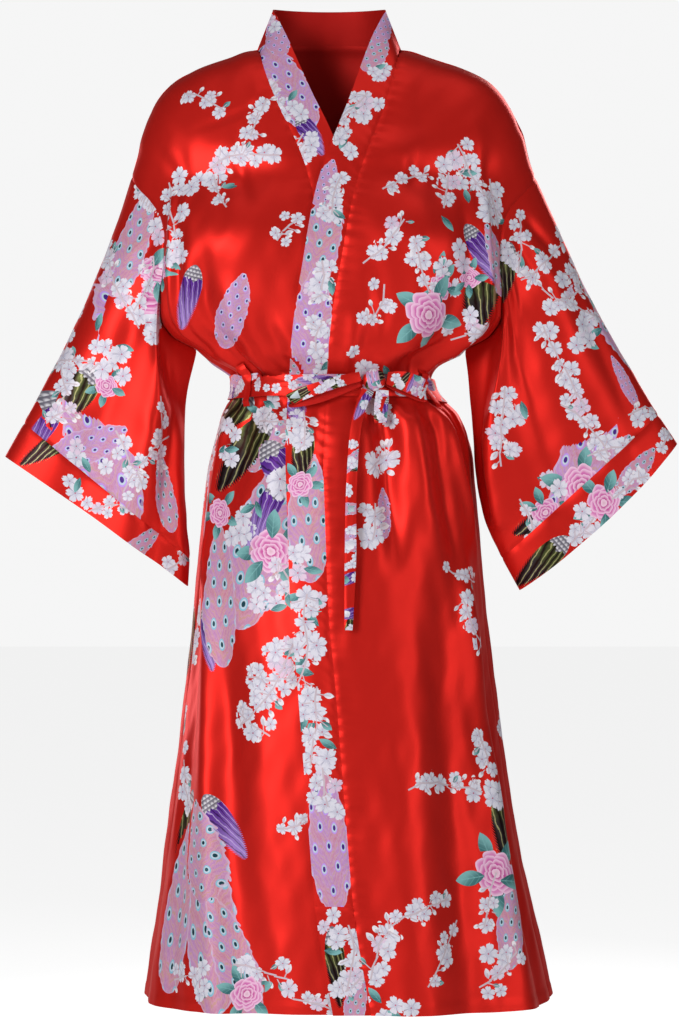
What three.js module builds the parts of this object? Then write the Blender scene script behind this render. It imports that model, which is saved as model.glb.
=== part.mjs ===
import * as THREE from 'three';

// Kimono robe, worn: all sizes in millimetres. Origin at the base of the neck, level with the shoulder
// points of the neckline. +X is the wearer's left, -Y the front, +Z up.

// Cloth and seams
const WALL = 1.5;
const BAND_WALL = 2.2;
const BELT_WALL = 2.4;
const SEAM = 0.17;
// The top front lies this far outside the under front where they cross
const WRAP_LIFT = 6.5;

// Main heights
const UNDERARM_Z = -354;
const HEM_Z = -1111;
// The hem hangs this much lower at the sides
const HEM_DIP = 7;
const CENTRE_X = 1;
const NECK_CENTRE_X = -3;
const SHOULDER_CENTRE_X = 4;
const NAPE_Y = 62;
const NAPE_Z = 16;

// Band and belt
const BAND_JOIN_ROW = 28;
const BELT_HEIGHT = 27;
const BELT_Z = -399;
const BELT_GAP = 2;

// Shoulder line from the middle of the neck to the sleeve seam: share of the panel, offset, height
const SHOULDER = [
  { at: 0.00, x: 0, z: 0 },
  { at: 0.30, x: 85, z: 0 },
  { at: 0.44, x: 123, z: -11 },
  { at: 0.60, x: 181, z: -35 },
  { at: 0.70, x: 205, z: -59 },
  { at: 0.78, x: 217, z: -83 },
  { at: 0.86, x: 226, z: -106 },
  { at: 0.93, x: 232, z: -130 },
  { at: 1.00, x: 238, z: -150 },
];

// Chest and shoulder blades: share of the way from shoulder to underarm, depth of the middle in front
// and behind, depth of the armhole in front and behind, offset of the armhole in front and behind
const CHEST = [
  { at: 0.00, front: 0, back: 0, armFront: 0, armBack: 0, xFront: 238, xBack: 238 },
  { at: 0.03, front: 27, back: 27, armFront: 18, armBack: 18, xFront: 236, xBack: 236 },
  { at: 0.08, front: 45, back: 44, armFront: 30, armBack: 30, xFront: 229, xBack: 231 },
  { at: 0.16, front: 60, back: 60, armFront: 44, armBack: 43, xFront: 214, xBack: 222 },
  { at: 0.27, front: 74, back: 76, armFront: 56, armBack: 54, xFront: 200, xBack: 212 },
  { at: 0.40, front: 90, back: 86, armFront: 62, armBack: 59, xFront: 195, xBack: 205 },
  { at: 0.55, front: 104, back: 90, armFront: 61, armBack: 58, xFront: 195, xBack: 201 },
  { at: 0.70, front: 112, back: 90, armFront: 54, armBack: 52, xFront: 198, xBack: 196 },
  { at: 0.83, front: 114, back: 90, armFront: 42, armBack: 41, xFront: 198, xBack: 189 },
  { at: 0.93, front: 112, back: 91, armFront: 24, armBack: 25, xFront: 186, xBack: 177 },
  { at: 1.00, front: 109, back: 91, armFront: 0, armBack: 0, xFront: 158, xBack: 158 },
];

// Waist and skirt: height, half width, middle, depth in front and behind, squareness
const SKIRT = [
  { z: -354, half: 158, mid: 1, front: 109, back: 91, square: 2.2 },
  { z: -366, half: 137, mid: -6, front: 105, back: 89, square: 2.2 },
  { z: -378, half: 122, mid: -2, front: 95, back: 85, square: 2.2 },
  { z: -386, half: 116, mid: 2, front: 90, back: 82, square: 2.2 },
  { z: -400, half: 117, mid: 4, front: 89, back: 82, square: 2.2 },
  { z: -416, half: 126, mid: 8, front: 90, back: 84, square: 2.2 },
  { z: -432, half: 138, mid: 12, front: 95, back: 91, square: 2.2 },
  { z: -460, half: 147, mid: 14, front: 102, back: 103, square: 2.2 },
  { z: -531, half: 156, mid: 12, front: 110, back: 119, square: 2.2 },
  { z: -649, half: 167, mid: 12, front: 119, back: 126, square: 2.2 },
  { z: -767, half: 180, mid: 12, front: 127, back: 131, square: 2.25 },
  { z: -873, half: 194, mid: 13, front: 134, back: 136, square: 2.3 },
  { z: -944, half: 205, mid: 15, front: 139, back: 140, square: 2.35 },
  { z: -1015, half: 218, mid: 18, front: 144, back: 145, square: 2.35 },
  { z: -1065, half: 228, mid: 20, front: 147, back: 148, square: 2.4 },
  { z: -1111, half: 236, mid: 22, front: 149, back: 150, square: 2.4 },
];

// Seam between the top front and its band, seen from the front
const TOP_SEAM = [
  { z: 0, x: 83 },
  { z: -69, x: 65 },
  { z: -134, x: 42 },
  { z: -171, x: 30 },
  { z: -218, x: 20 },
  { z: -265, x: 12 },
  { z: -310, x: 4 },
  { z: -379, x: -3 },
  { z: -481, x: -7 },
  { z: -553, x: -5 },
  { z: -659, x: -1 },
  { z: -737, x: 6 },
  { z: -889, x: 18 },
  { z: -994, x: 27 },
  { z: -1114, x: 47 },
];

// The same seam of the under front, hidden from the belt down
const UNDER_SEAM = [
  { z: 0, x: -84 },
  { z: -27, x: -77 },
  { z: -73, x: -60 },
  { z: -118, x: -39 },
  { z: -150, x: -27 },
  { z: -218, x: -12 },
  { z: -300, x: 2 },
  { z: -400, x: 12 },
  { z: -600, x: 22 },
  { z: -850, x: 34 },
  { z: -1114, x: 46 },
];

// Free edge of the collar from the side of the neck to the crossing: seam height it belongs to, how far
// in towards the neck, how far up, and how deep it stands
const COLLAR_EDGE = [
  { z: 0, inward: 18, up: 46, y: 1 },
  { z: -27, inward: 29, up: 34, y: -24 },
  { z: -69, inward: 37, up: 20, y: -52 },
  { z: -134, inward: 40, up: 13, y: -86 },
  { z: -200, inward: 43, up: 6, y: -103 },
  { z: -300, inward: 43, up: 0, y: -113 },
];

// Sleeves seen from the front: share of the length, top fold and bottom fold (offset and height),
// depth of the middle, half thickness, squareness of the section
const SLEEVE_LEFT = [
  { at: 0.00, topX: 239, topZ: -153, lowX: 159, lowZ: -354, y: 0, thick: 60, square: 2.3 },
  { at: 0.25, topX: 278, topZ: -234, lowX: 168, lowZ: -430, y: 2, thick: 51, square: 2.3 },
  { at: 0.50, topX: 318, topZ: -313, lowX: 172, lowZ: -500, y: 0, thick: 44, square: 2.2 },
  { at: 0.75, topX: 358, topZ: -383, lowX: 183, lowZ: -556, y: -4, thick: 36, square: 2.2 },
  { at: 1.00, topX: 386, topZ: -431, lowX: 202, lowZ: -599, y: -8, thick: 30, square: 2.1 },
];
const SLEEVE_RIGHT = [
  { at: 0.00, topX: 239, topZ: -153, lowX: 157, lowZ: -354, y: 0, thick: 60, square: 2.3 },
  { at: 0.25, topX: 264, topZ: -234, lowX: 171, lowZ: -425, y: 2, thick: 52, square: 2.3 },
  { at: 0.50, topX: 297, topZ: -318, lowX: 172, lowZ: -492, y: 0, thick: 45, square: 2.2 },
  { at: 0.75, topX: 334, topZ: -391, lowX: 169, lowZ: -550, y: -4, thick: 37, square: 2.2 },
  { at: 1.00, topX: 360, topZ: -440, lowX: 165, lowZ: -599, y: -8, thick: 30, square: 2.1 },
];
// Sleeve mouths at the end of the cuff bands, and how far the middle of the edge bulges beyond the line
// between its corners
const MOUTH_LEFT = {
  topX: 408, topZ: -465, lowX: 223, lowZ: -637, y: -10, thick: 28, square: 2.1, bulge: 9,
};
const MOUTH_RIGHT = {
  topX: 382, topZ: -480, lowX: 167, lowZ: -632, y: -10, thick: 28, square: 2.1, bulge: -3,
};

// Folds of the body. Place round the body from the middle of the front (0) over the side seam (1, or -1
// on the viewer's left) to the middle of the back (2), at the start and end; heights there; height of the
// ridge, or depth if minus; width to half height; length of the fade at the start and at the end
const BODY_FOLDS = [
  { a0: -0.62, z0: -235, a1: -0.60, z1: -400, high: 5, wide: 10, fade0: 60, fade1: 12 },
  { a0: -0.50, z0: -235, a1: -0.50, z1: -400, high: -6, wide: 10, fade0: 60, fade1: 12 },
  { a0: -0.38, z0: -265, a1: -0.40, z1: -400, high: 5, wide: 10, fade0: 60, fade1: 12 },
  { a0: -0.80, z0: -260, a1: -0.80, z1: -392, high: -5, wide: 12, fade0: 50, fade1: 14 },
  { a0: 0.34, z0: -255, a1: 0.34, z1: -398, high: 4, wide: 12, fade0: 60, fade1: 14 },
  { a0: 0.50, z0: -250, a1: 0.48, z1: -398, high: -5, wide: 12, fade0: 60, fade1: 14 },
  { a0: 0.70, z0: -240, a1: 0.66, z1: -398, high: 6, wide: 12, fade0: 60, fade1: 14 },
  { a0: -0.30, z0: -425, a1: -0.36, z1: -620, high: 5, wide: 14, fade0: 25, fade1: 90 },
  { a0: -0.52, z0: -420, a1: -0.56, z1: -560, high: -5, wide: 13, fade0: 25, fade1: 80 },
  { a0: -0.72, z0: -420, a1: -0.80, z1: -700, high: 6, wide: 15, fade0: 25, fade1: 120 },
  { a0: -0.74, z0: -560, a1: -0.33, z1: -1240, high: 11, wide: 19, fade0: 130, fade1: 40 },
  { a0: -0.56, z0: -660, a1: -0.20, z1: -1240, high: -9, wide: 26, fade0: 130, fade1: 40 },
  { a0: -0.92, z0: -560, a1: -0.56, z1: -1240, high: -8, wide: 24, fade0: 130, fade1: 40 },
  { a0: 0.20, z0: -420, a1: 0.26, z1: -640, high: -9, wide: 11, fade0: 20, fade1: 110 },
  { a0: 0.34, z0: -424, a1: 0.44, z1: -600, high: 6, wide: 12, fade0: 20, fade1: 90 },
  { a0: 0.46, z0: -420, a1: 0.62, z1: -640, high: -6, wide: 12, fade0: 20, fade1: 90 },
  { a0: 0.58, z0: -420, a1: 0.86, z1: -600, high: 7, wide: 12, fade0: 20, fade1: 80 },
  { a0: 0.45, z0: -600, a1: 0.36, z1: -1240, high: -8, wide: 26, fade0: 150, fade1: 40 },
  { a0: 0.64, z0: -560, a1: 0.68, z1: -840, high: 10, wide: 18, fade0: 110, fade1: 130 },
  { a0: 0.72, z0: -760, a1: 0.56, z1: -1240, high: 10, wide: 20, fade0: 110, fade1: 40 },
  { a0: 0.86, z0: -620, a1: 0.78, z1: -1240, high: -9, wide: 24, fade0: 150, fade1: 40 },
  { a0: 0.22, z0: -800, a1: 0.16, z1: -1240, high: 5, wide: 22, fade0: 150, fade1: 40 },
  { a0: 1.12, z0: -425, a1: 1.10, z1: -1240, high: 8, wide: 22, fade0: 60, fade1: 40 },
  { a0: 1.32, z0: -425, a1: 1.27, z1: -1240, high: -10, wide: 26, fade0: 80, fade1: 40 },
  { a0: 1.50, z0: -430, a1: 1.46, z1: -1240, high: 11, wide: 24, fade0: 100, fade1: 40 },
  { a0: 1.70, z0: -425, a1: 1.68, z1: -1240, high: -9, wide: 26, fade0: 80, fade1: 40 },
  { a0: 1.90, z0: -440, a1: 1.92, z1: -1240, high: 10, wide: 24, fade0: 120, fade1: 40 },
  { a0: -1.10, z0: -425, a1: -1.12, z1: -1240, high: 8, wide: 22, fade0: 80, fade1: 40 },
  { a0: -1.28, z0: -430, a1: -1.33, z1: -1240, high: -10, wide: 26, fade0: 80, fade1: 40 },
  { a0: -1.50, z0: -425, a1: -1.54, z1: -1240, high: 10, wide: 25, fade0: 100, fade1: 40 },
  { a0: -1.74, z0: -430, a1: -1.76, z1: -1240, high: -10, wide: 26, fade0: 90, fade1: 40 },
  { a0: 1.25, z0: -230, a1: 1.22, z1: -396, high: 5, wide: 13, fade0: 60, fade1: 14 },
  { a0: 1.50, z0: -240, a1: 1.48, z1: -396, high: -6, wide: 14, fade0: 60, fade1: 14 },
  { a0: 1.76, z0: -220, a1: 1.78, z1: -396, high: 5, wide: 14, fade0: 70, fade1: 14 },
  { a0: -1.30, z0: -235, a1: -1.26, z1: -396, high: 5, wide: 13, fade0: 60, fade1: 14 },
  { a0: -1.58, z0: -240, a1: -1.58, z1: -396, high: -6, wide: 14, fade0: 60, fade1: 14 },
  { a0: -1.84, z0: -230, a1: -1.84, z1: -396, high: 4, wide: 14, fade0: 70, fade1: 14 },
];

// Rounded places: bust, and the dip between shoulder and bust
const BODY_SWELLS = [
  { a: 0.40, z: -232, high: 7, round: 62, tall: 50 },
  { a: -0.40, z: -232, high: 7, round: 62, tall: 50 },
  { a: 0.55, z: -160, high: -5, round: 75, tall: 30 },
  { a: -0.55, z: -160, high: -5, round: 75, tall: 30 },
];

// Folds of the sleeves: place round the sleeve from the top fold (0) over the front (0.25) and the
// bottom (0.5) to the back (0.75), at the start and end; shares of the length there; height; half width
const LEFT_FOLDS = [
  { u0: 0.36, t0: 0.00, u1: 0.40, t1: 0.90, high: 9, wide: 17, fade: 0.12 },
  { u0: 0.43, t0: 0.00, u1: 0.46, t1: 0.80, high: -8, wide: 14, fade: 0.12 },
  { u0: 0.26, t0: 0.12, u1: 0.30, t1: 1.15, high: -7, wide: 18, fade: 0.20 },
  { u0: 0.15, t0: 0.10, u1: 0.17, t1: 1.15, high: 5, wide: 18, fade: 0.25 },
  { u0: 0.63, t0: 0.10, u1: 0.60, t1: 1.15, high: 7, wide: 18, fade: 0.20 },
  { u0: 0.75, t0: 0.10, u1: 0.73, t1: 1.15, high: -7, wide: 20, fade: 0.20 },
  { u0: 0.86, t0: 0.10, u1: 0.85, t1: 1.15, high: 5, wide: 18, fade: 0.25 },
];
const RIGHT_FOLDS = [
  { u0: 0.33, t0: 0.00, u1: 0.30, t1: 1.15, high: 9, wide: 17, fade: 0.12 },
  { u0: 0.41, t0: 0.02, u1: 0.38, t1: 1.15, high: -8, wide: 17, fade: 0.12 },
  { u0: 0.22, t0: 0.12, u1: 0.20, t1: 1.15, high: -6, wide: 18, fade: 0.20 },
  { u0: 0.62, t0: 0.10, u1: 0.61, t1: 1.15, high: 7, wide: 18, fade: 0.20 },
  { u0: 0.74, t0: 0.10, u1: 0.74, t1: 1.15, high: -7, wide: 20, fade: 0.20 },
  { u0: 0.86, t0: 0.10, u1: 0.86, t1: 1.15, high: 5, wide: 18, fade: 0.25 },
];

// Bow, tails and knot, in front of the waist
const KNOT = { x: 46, z: -394, wide: 13, tall: 13, deep: 8, out: 9.2 };
const LEFT_LOOP = [
  { x: 58, z: -392, out: 10.5, tilt: 0.10, wide: 14 },
  { x: 74, z: -396, out: 15, tilt: 0.16, wide: 22 },
  { x: 90, z: -405, out: 15, tilt: 0.20, wide: 23 },
  { x: 97, z: -410, out: 11, tilt: 0.20, wide: 22 },
  { x: 90, z: -408, out: 7.2, tilt: 0.20, wide: 21 },
  { x: 74, z: -400, out: 6.6, tilt: 0.16, wide: 20 },
  { x: 59, z: -394, out: 5.5, tilt: 0.10, wide: 13 },
];
const RIGHT_LOOP = [
  { x: 31.7, z: -390, out: 11, tilt: -0.20, wide: 11 },
  { x: 8, z: -397, out: 14, tilt: -0.35, wide: 13 },
  { x: -18, z: -407, out: 15, tilt: -0.40, wide: 14 },
  { x: -36, z: -415, out: 12, tilt: -0.40, wide: 15 },
  { x: -39, z: -420, out: 8.4, tilt: -0.40, wide: 15 },
  { x: -20, z: -417, out: 6, tilt: -0.40, wide: 14 },
  { x: 8, z: -407, out: 5, tilt: -0.35, wide: 13 },
  { x: 31.7, z: -396, out: 5.5, tilt: -0.20, wide: 11 },
];
const LONG_TAIL = [
  { x: 40.2, z: -406.8, out: 9.7, wide: 14 },
  { x: 29, z: -450, out: 9, wide: 12 },
  { x: 24, z: -520, out: 8, wide: 12 },
  { x: 23, z: -600, out: 8, wide: 13 },
  { x: 21, z: -679, out: 8, wide: 9 },
];
const SHORT_TAIL = [
  { x: 54.6, z: -407.3, out: 10.2, wide: 14 },
  { x: 55, z: -425, out: 10, wide: 16 },
  { x: 56, z: -443, out: 9, wide: 14 },
];
const BELT_LOOPS = { left: 0.62, right: -0.56, wide: 9, reach: 24, out: 7.8 };

const clamp = (v, lo, hi) => Math.min(hi, Math.max(lo, v));
const mix = (a, b, t) => a + (b - a) * t;
const smooth = (t) => {
  const c = clamp(t, 0, 1);
  return c * c * (3 - 2 * c);
};

// Reads a column of a table at a key, along a smooth line that does not overshoot
function read(table, key, at, column) {
  const down = table[table.length - 1][key] < table[0][key];
  const sign = down ? -1 : 1;
  const k = table.map((row) => row[key] * sign);
  const v = table.map((row) => row[column]);
  const x = clamp(at * sign, k[0], k[k.length - 1]);
  let i = 0;
  while (i < k.length - 2 && x > k[i + 1]) i += 1;
  const step = (j) => (v[j + 1] - v[j]) / (k[j + 1] - k[j]);
  const slope = (j) => {
    if (j === 0) return step(0);
    if (j === k.length - 1) return step(j - 1);
    const a = step(j - 1);
    const b = step(j);
    return a * b <= 0 ? 0 : 2 * a * b / (a + b);
  };
  const w = k[i + 1] - k[i];
  const t = (x - k[i]) / w;
  const t2 = t * t;
  const t3 = t2 * t;
  return v[i] * (2 * t3 - 3 * t2 + 1) + slope(i) * w * (t3 - 2 * t2 + t)
    + v[i + 1] * (3 * t2 - 2 * t3) + slope(i + 1) * w * (t3 - t2);
}

// Height of a row number h: 0 at the shoulder, 1 at the underarm, 2 at the hem
const rowZ = (h) => UNDERARM_Z + (HEM_Z - UNDERARM_Z) * (h - 1);
const rowAt = (z) => 1 + (z - UNDERARM_Z) / (HEM_Z - UNDERARM_Z);

// Body form without folds. a: 0 middle of the front, 1 side seam, 2 middle of the back, minus on the
// viewer's left. h as above
function form(a, h, behind) {
  const side = a < 0 ? -1 : 1;
  const m = Math.abs(a);
  const share = behind ? 2 - m : m;
  const phi = share * Math.PI / 2;
  const s = Math.sin(phi);
  const c = Math.cos(phi);
  if (h >= 1) {
    const z = rowZ(h);
    const n = read(SKIRT, 'z', z, 'square');
    const r = Math.pow(Math.pow(Math.abs(s), n) + Math.pow(Math.abs(c), n), -1 / n);
    const x = read(SKIRT, 'z', z, 'mid') + side * read(SKIRT, 'z', z, 'half') * s * r;
    const depth = read(SKIRT, 'z', z, behind ? 'back' : 'front') * c * r;
    return new THREE.Vector3(x, behind ? depth : -depth, z - HEM_DIP * s * s * smooth((h - 1.6) / 0.4));
  }
  const n = SKIRT[0].square;
  const r = Math.pow(Math.pow(Math.abs(s), n) + Math.pow(Math.abs(c), n), -1 / n);
  const ridgeX = read(SHOULDER, 'at', share, 'x') / SHOULDER[SHOULDER.length - 1].x;
  const ridgeZ = read(SHOULDER, 'at', share, 'z');
  const reach = read(CHEST, 'at', h, behind ? 'xBack' : 'xFront');
  const middleX = mix(mix(NECK_CENTRE_X, SHOULDER_CENTRE_X, share), CENTRE_X, smooth(h));
  const x = middleX + side * reach * mix(ridgeX, s * r, smooth(h * 1.1));
  const middle = read(CHEST, 'at', h, behind ? 'back' : 'front');
  const arm = read(CHEST, 'at', h, behind ? 'armBack' : 'armFront');
  let depth = arm + (middle - arm) * c * r;
  let z = mix(ridgeZ, UNDERARM_Z, h);
  if (behind) {
    const inside = clamp(share / SHOULDER[1].at, 0, 1);
    const round = Math.sqrt(Math.max(0, 1 - inside * inside));
    const nape = NAPE_Y * round * (1 - smooth(h / 0.45));
    depth = Math.hypot(depth, nape);
    z += NAPE_Z * round * (1 - smooth(h / 0.3));
  }
  return new THREE.Vector3(x, behind ? depth : -depth, z);
}

// Outward direction of the form without folds
function formNormal(a, h, behind) {
  const e = 0.004;
  const m = Math.abs(a);
  const sign = a < 0 ? -1 : 1;
  const low = behind ? Math.max(1, m - e) : Math.max(0, m - e);
  const high = behind ? Math.min(2, m + e) : Math.min(1, m + e);
  const h0 = Math.max(0, h - e);
  const h1 = Math.min(2, h + e);
  const across = form(sign * high, h, behind).sub(form(sign * low, h, behind)).multiplyScalar(sign);
  const down = form(a, h1, behind).sub(form(a, h0, behind));
  return down.cross(across).normalize();
}

const gap = (a, b) => {
  const d = Math.abs(a - b);
  return Math.min(d, 4 - d);
};

// Length from the middle of the front or back to the side seam at a height
function quarter(z) {
  const half = z > UNDERARM_Z ? 190 : read(SKIRT, 'z', z, 'half');
  const depth = z > UNDERARM_Z ? 85 : read(SKIRT, 'z', z, 'front');
  return 1.57 * Math.sqrt((half * half + depth * depth) / 2) * 1.03;
}

function foldHeight(a, z, h) {
  const length = quarter(z);
  let sum = 0;
  for (const f of BODY_FOLDS) {
    const t = (z - f.z0) / (f.z1 - f.z0);
    if (t < 0 || t > 1) continue;
    const centre = mix(f.a0, f.a1, t);
    const d = gap(a, centre) * length / f.wide;
    if (d > 3) continue;
    const fade = smooth((f.z0 - z) / f.fade0) * smooth((z - f.z1) / f.fade1);
    sum += f.high * Math.exp(-d * d) * fade;
  }
  for (const b of BODY_SWELLS) {
    const d = Math.hypot(gap(a, b.a) * length / b.round, (z - b.z) / b.tall);
    if (d < 3) sum += b.high * Math.exp(-d * d);
  }
  // No fold at the armholes and the side seams under them, so that the pieces meet
  const fromSide = smooth(gap(Math.abs(a), 1) / 0.14);
  const below = smooth((h - 1) / 0.06 + fromSide);
  return sum * (h < 1 ? fromSide : below);
}

// Body surface with folds, moved out by lift
function body(a, h, behind, lift = 0) {
  const p = form(a, h, behind);
  const n = formNormal(a, h, behind);
  return p.addScaledVector(n, foldHeight(a, p.z, h) + lift);
}

// Lift of the top front, where the under front lies below it
function wrapLift(a, z) {
  const x = a * quarter(z);
  const start = smooth((-95 - z) / 45);
  return WRAP_LIFT * start * smooth((125 - x) / 50) * smooth((x + 110) / 50);
}

// Place round the body where the seam at a height is met, seen from the front
function seamPlace(seam, h) {
  let low = -0.75;
  let high = 0.75;
  for (let i = 0; i < 40; i += 1) {
    const mid = (low + high) / 2;
    const p = form(mid, h, false);
    if (p.x < read(seam, 'z', p.z, 'x')) low = mid;
    else high = mid;
  }
  return (low + high) / 2;
}

// Rows from shoulder to hem
const ROW_Z = [
  -366, -378, -386, -400, -416, -432, -460, -500, -550, -605, -665, -730, -795, -860, -925, -990, -1035,
];
const ROWS = [0, 0.02, 0.05, 0.1, 0.17, 0.26, 0.37, 0.49, 0.61, 0.73, 0.84, 0.93, 1]
  .concat(ROW_Z.map(rowAt)).concat([rowAt(-1075), 2]);
const UNDERARM_ROW = 12;
const FRONT_COLUMNS = 13;
const NECK_COLUMNS = 4;

// Direction across the seams, shared by the pieces on both sides
const average = (list) => list.reduce((s, v) => s.add(v), new THREE.Vector3()).normalize();

function surfaceNormal(at, i, j, rows, columns) {
  const a = at(Math.max(0, i - 1), j);
  const b = at(Math.min(rows - 1, i + 1), j);
  const c = at(i, Math.max(0, j - 1));
  const d = at(i, Math.min(columns - 1, j + 1));
  return b.clone().sub(a).cross(d.clone().sub(c)).normalize();
}

// A wall from a grid of outer points: grid[i][j], normals grid the same, closed round j if loop
function wall(grid, normals, thick, loop) {
  const rows = grid.length;
  const columns = grid[0].length;
  const position = [];
  const index = [];
  const put = (p) => {
    position.push(p.x, p.y, p.z);
    return position.length / 3 - 1;
  };
  const outer = grid.map((row) => row.map((p) => put(p)));
  const inner = grid.map((row, i) => row.map((p, j) => {
    const q = p.clone().addScaledVector(normals[i][j], -thick);
    return put(q);
  }));
  const quad = (a, b, c, d) => {
    index.push(a, b, c, a, c, d);
  };
  const across = loop ? columns : columns - 1;
  for (let i = 0; i < rows - 1; i += 1) {
    for (let j = 0; j < across; j += 1) {
      const k = (j + 1) % columns;
      quad(outer[i][j], outer[i + 1][j], outer[i + 1][k], outer[i][k]);
      quad(inner[i][j], inner[i][k], inner[i + 1][k], inner[i + 1][j]);
    }
  }
  for (let j = 0; j < across; j += 1) {
    const k = (j + 1) % columns;
    quad(outer[0][j], outer[0][k], inner[0][k], inner[0][j]);
    quad(outer[rows - 1][j], inner[rows - 1][j], inner[rows - 1][k], outer[rows - 1][k]);
  }
  if (!loop) {
    for (let i = 0; i < rows - 1; i += 1) {
      const e = columns - 1;
      quad(outer[i][0], inner[i][0], inner[i + 1][0], outer[i + 1][0]);
      quad(outer[i][e], outer[i + 1][e], inner[i + 1][e], inner[i][e]);
    }
  }
  const geometry = new THREE.BufferGeometry();
  geometry.setAttribute('position', new THREE.Float32BufferAttribute(position, 3));
  geometry.setIndex(index);
  let volume = 0;
  const p = (n) => new THREE.Vector3(position[3 * n], position[3 * n + 1], position[3 * n + 2]);
  for (let i = 0; i < index.length; i += 3) {
    volume += p(index[i]).dot(p(index[i + 1]).cross(p(index[i + 2])));
  }
  if (volume < 0) {
    for (let i = 0; i < index.length; i += 3) {
      const t = index[i];
      index[i] = index[i + 1];
      index[i + 1] = t;
    }
    geometry.setIndex(index);
  }
  geometry.computeVertexNormals();
  return geometry;
}

// Moves the border points of a grid in along the cloth by half a seam gap
function inset(grid, sides) {
  const rows = grid.length;
  const columns = grid[0].length;
  const copy = grid.map((row) => row.map((p) => p.clone()));
  const pull = (i, j, k, l, by = SEAM) => {
    const d = grid[k][l].clone().sub(grid[i][j]).normalize();
    copy[i][j].addScaledVector(d, by);
  };
  if (sides.top) for (let j = 0; j < columns; j += 1) pull(0, j, 1, j);
  if (sides.bottom) for (let j = 0; j < columns; j += 1) pull(rows - 1, j, rows - 2, j);
  if (sides.first) for (let i = 0; i < rows; i += 1) pull(i, 0, i, 1, sides.first * SEAM);
  if (sides.last) for (let i = 0; i < rows; i += 1) pull(i, columns - 1, i, columns - 2);
  return copy;
}

const group = new THREE.Group();
group.name = 'kimono_robe';
function add(name, geometry, colour) {
  const material = new THREE.MeshStandardMaterial({ color: colour, roughness: 0.35 });
  material.name = name + '_cloth';
  const mesh = new THREE.Mesh(geometry, material);
  mesh.name = name;
  group.add(mesh);
}

// Shared seam directions
function sleeveRing(side, t) {
  const table = side > 0 ? SLEEVE_LEFT : SLEEVE_RIGHT;
  const get = (column) => read(table, 'at', t, column);
  return {
    topX: get('topX'), topZ: get('topZ'), lowX: get('lowX'), lowZ: get('lowZ'),
    y: get('y'), thick: get('thick'), square: get('square'),
  };
}

function ringPoint(side, ring, u) {
  const phi = u * Math.PI * 2;
  const c = Math.cos(phi);
  const s = Math.sin(phi);
  const n = ring.square;
  const r = Math.pow(Math.pow(Math.abs(s), n) + Math.pow(Math.abs(c), n), -1 / n);
  const mx = (ring.topX + ring.lowX) / 2;
  const mz = (ring.topZ + ring.lowZ) / 2;
  const ex = (ring.topX - ring.lowX) / 2;
  const ez = (ring.topZ - ring.lowZ) / 2;
  return new THREE.Vector3(side * (mx + ex * c * r), ring.y - ring.thick * s * r, mz + ez * c * r);
}

// Armhole: the same points as the ends of the body rows, front first, then up the back
function armhole(side) {
  const list = [];
  for (let i = 0; i <= UNDERARM_ROW; i += 1) list.push(body(side, ROWS[i], false));
  for (let i = UNDERARM_ROW - 1; i > 0; i -= 1) list.push(body(side, ROWS[i], true));
  return list;
}

const ARM_COUNT = 2 * UNDERARM_ROW;
// Places round the sleeve of the armhole points, by length along the armhole
function armPlaces(side) {
  const loop = armhole(side);
  const length = [0];
  for (let i = 0; i < ARM_COUNT; i += 1) {
    length.push(length[i] + loop[i].distanceTo(loop[(i + 1) % ARM_COUNT]));
  }
  const half = length[UNDERARM_ROW];
  const rest = length[ARM_COUNT] - half;
  return loop.map((p, i) => {
    if (i <= UNDERARM_ROW) return 0.5 * length[i] / half;
    return 0.5 + 0.5 * (length[i] - half) / rest;
  });
}

function sleeveSurface(side, t, i, places, loop, folds) {
  const u = places[i];
  const even = i / ARM_COUNT;
  const place = mix(u, even, smooth(t / 0.6) * 0.6);
  const ring = sleeveRing(side, t);
  const p = ringPoint(side, ring, place);
  const w = 1 - smooth(t / 0.42);
  const start = ringPoint(side, sleeveRing(side, 0), u);
  p.add(loop[i].clone().sub(start).multiplyScalar(w));
  const centre = new THREE.Vector3(side * (ring.topX + ring.lowX) / 2, ring.y, (ring.topZ + ring.lowZ) / 2);
  const out = p.clone().sub(centre).normalize();
  let sum = 0;
  const girth = 520;
  for (const f of folds) {
    const s = (t - f.t0) / (f.t1 - f.t0);
    if (s < 0 || s > 1) continue;
    const d = Math.abs(place - mix(f.u0, f.u1, s)) * girth / f.wide;
    if (d > 3) continue;
    sum += f.high * Math.exp(-d * d) * smooth(s / f.fade) * smooth((1 - s) / 0.1);
  }
  out.y *= 1.6;
  out.normalize();
  return p.addScaledVector(out, sum * smooth(t / 0.08));
}

const SLEEVE_ROWS = [0, 0.05, 0.12, 0.2, 0.29, 0.38, 0.47, 0.56, 0.65, 0.74, 0.83, 0.92, 1];

function sleeveGrid(side) {
  const places = armPlaces(side);
  const loop = armhole(side);
  const folds = side > 0 ? LEFT_FOLDS : RIGHT_FOLDS;
  return SLEEVE_ROWS.map((t) => loop.map((p, i) => sleeveSurface(side, t, i, places, loop, folds)));
}

function ringNormals(grid) {
  const rows = grid.length;
  const n = grid[0].length;
  return grid.map((row, i) => row.map((p, j) => {
    const a = grid[Math.max(0, i - 1)][j];
    const b = grid[Math.min(rows - 1, i + 1)][j];
    const c = grid[i][(j + n - 1) % n];
    const d = grid[i][(j + 1) % n];
    return b.clone().sub(a).cross(d.clone().sub(c)).normalize();
  }));
}

const faceOut = (normals, centreOf, grid) => normals.map((row, i) => row.map((v, j) => {
  const out = grid[i][j].clone().sub(centreOf(i));
  return v.dot(out) < 0 ? v.multiplyScalar(-1) : v;
}));

function ringCentre(row) {
  return row.reduce((s, p) => s.add(p), new THREE.Vector3()).multiplyScalar(1 / row.length);
}

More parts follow.
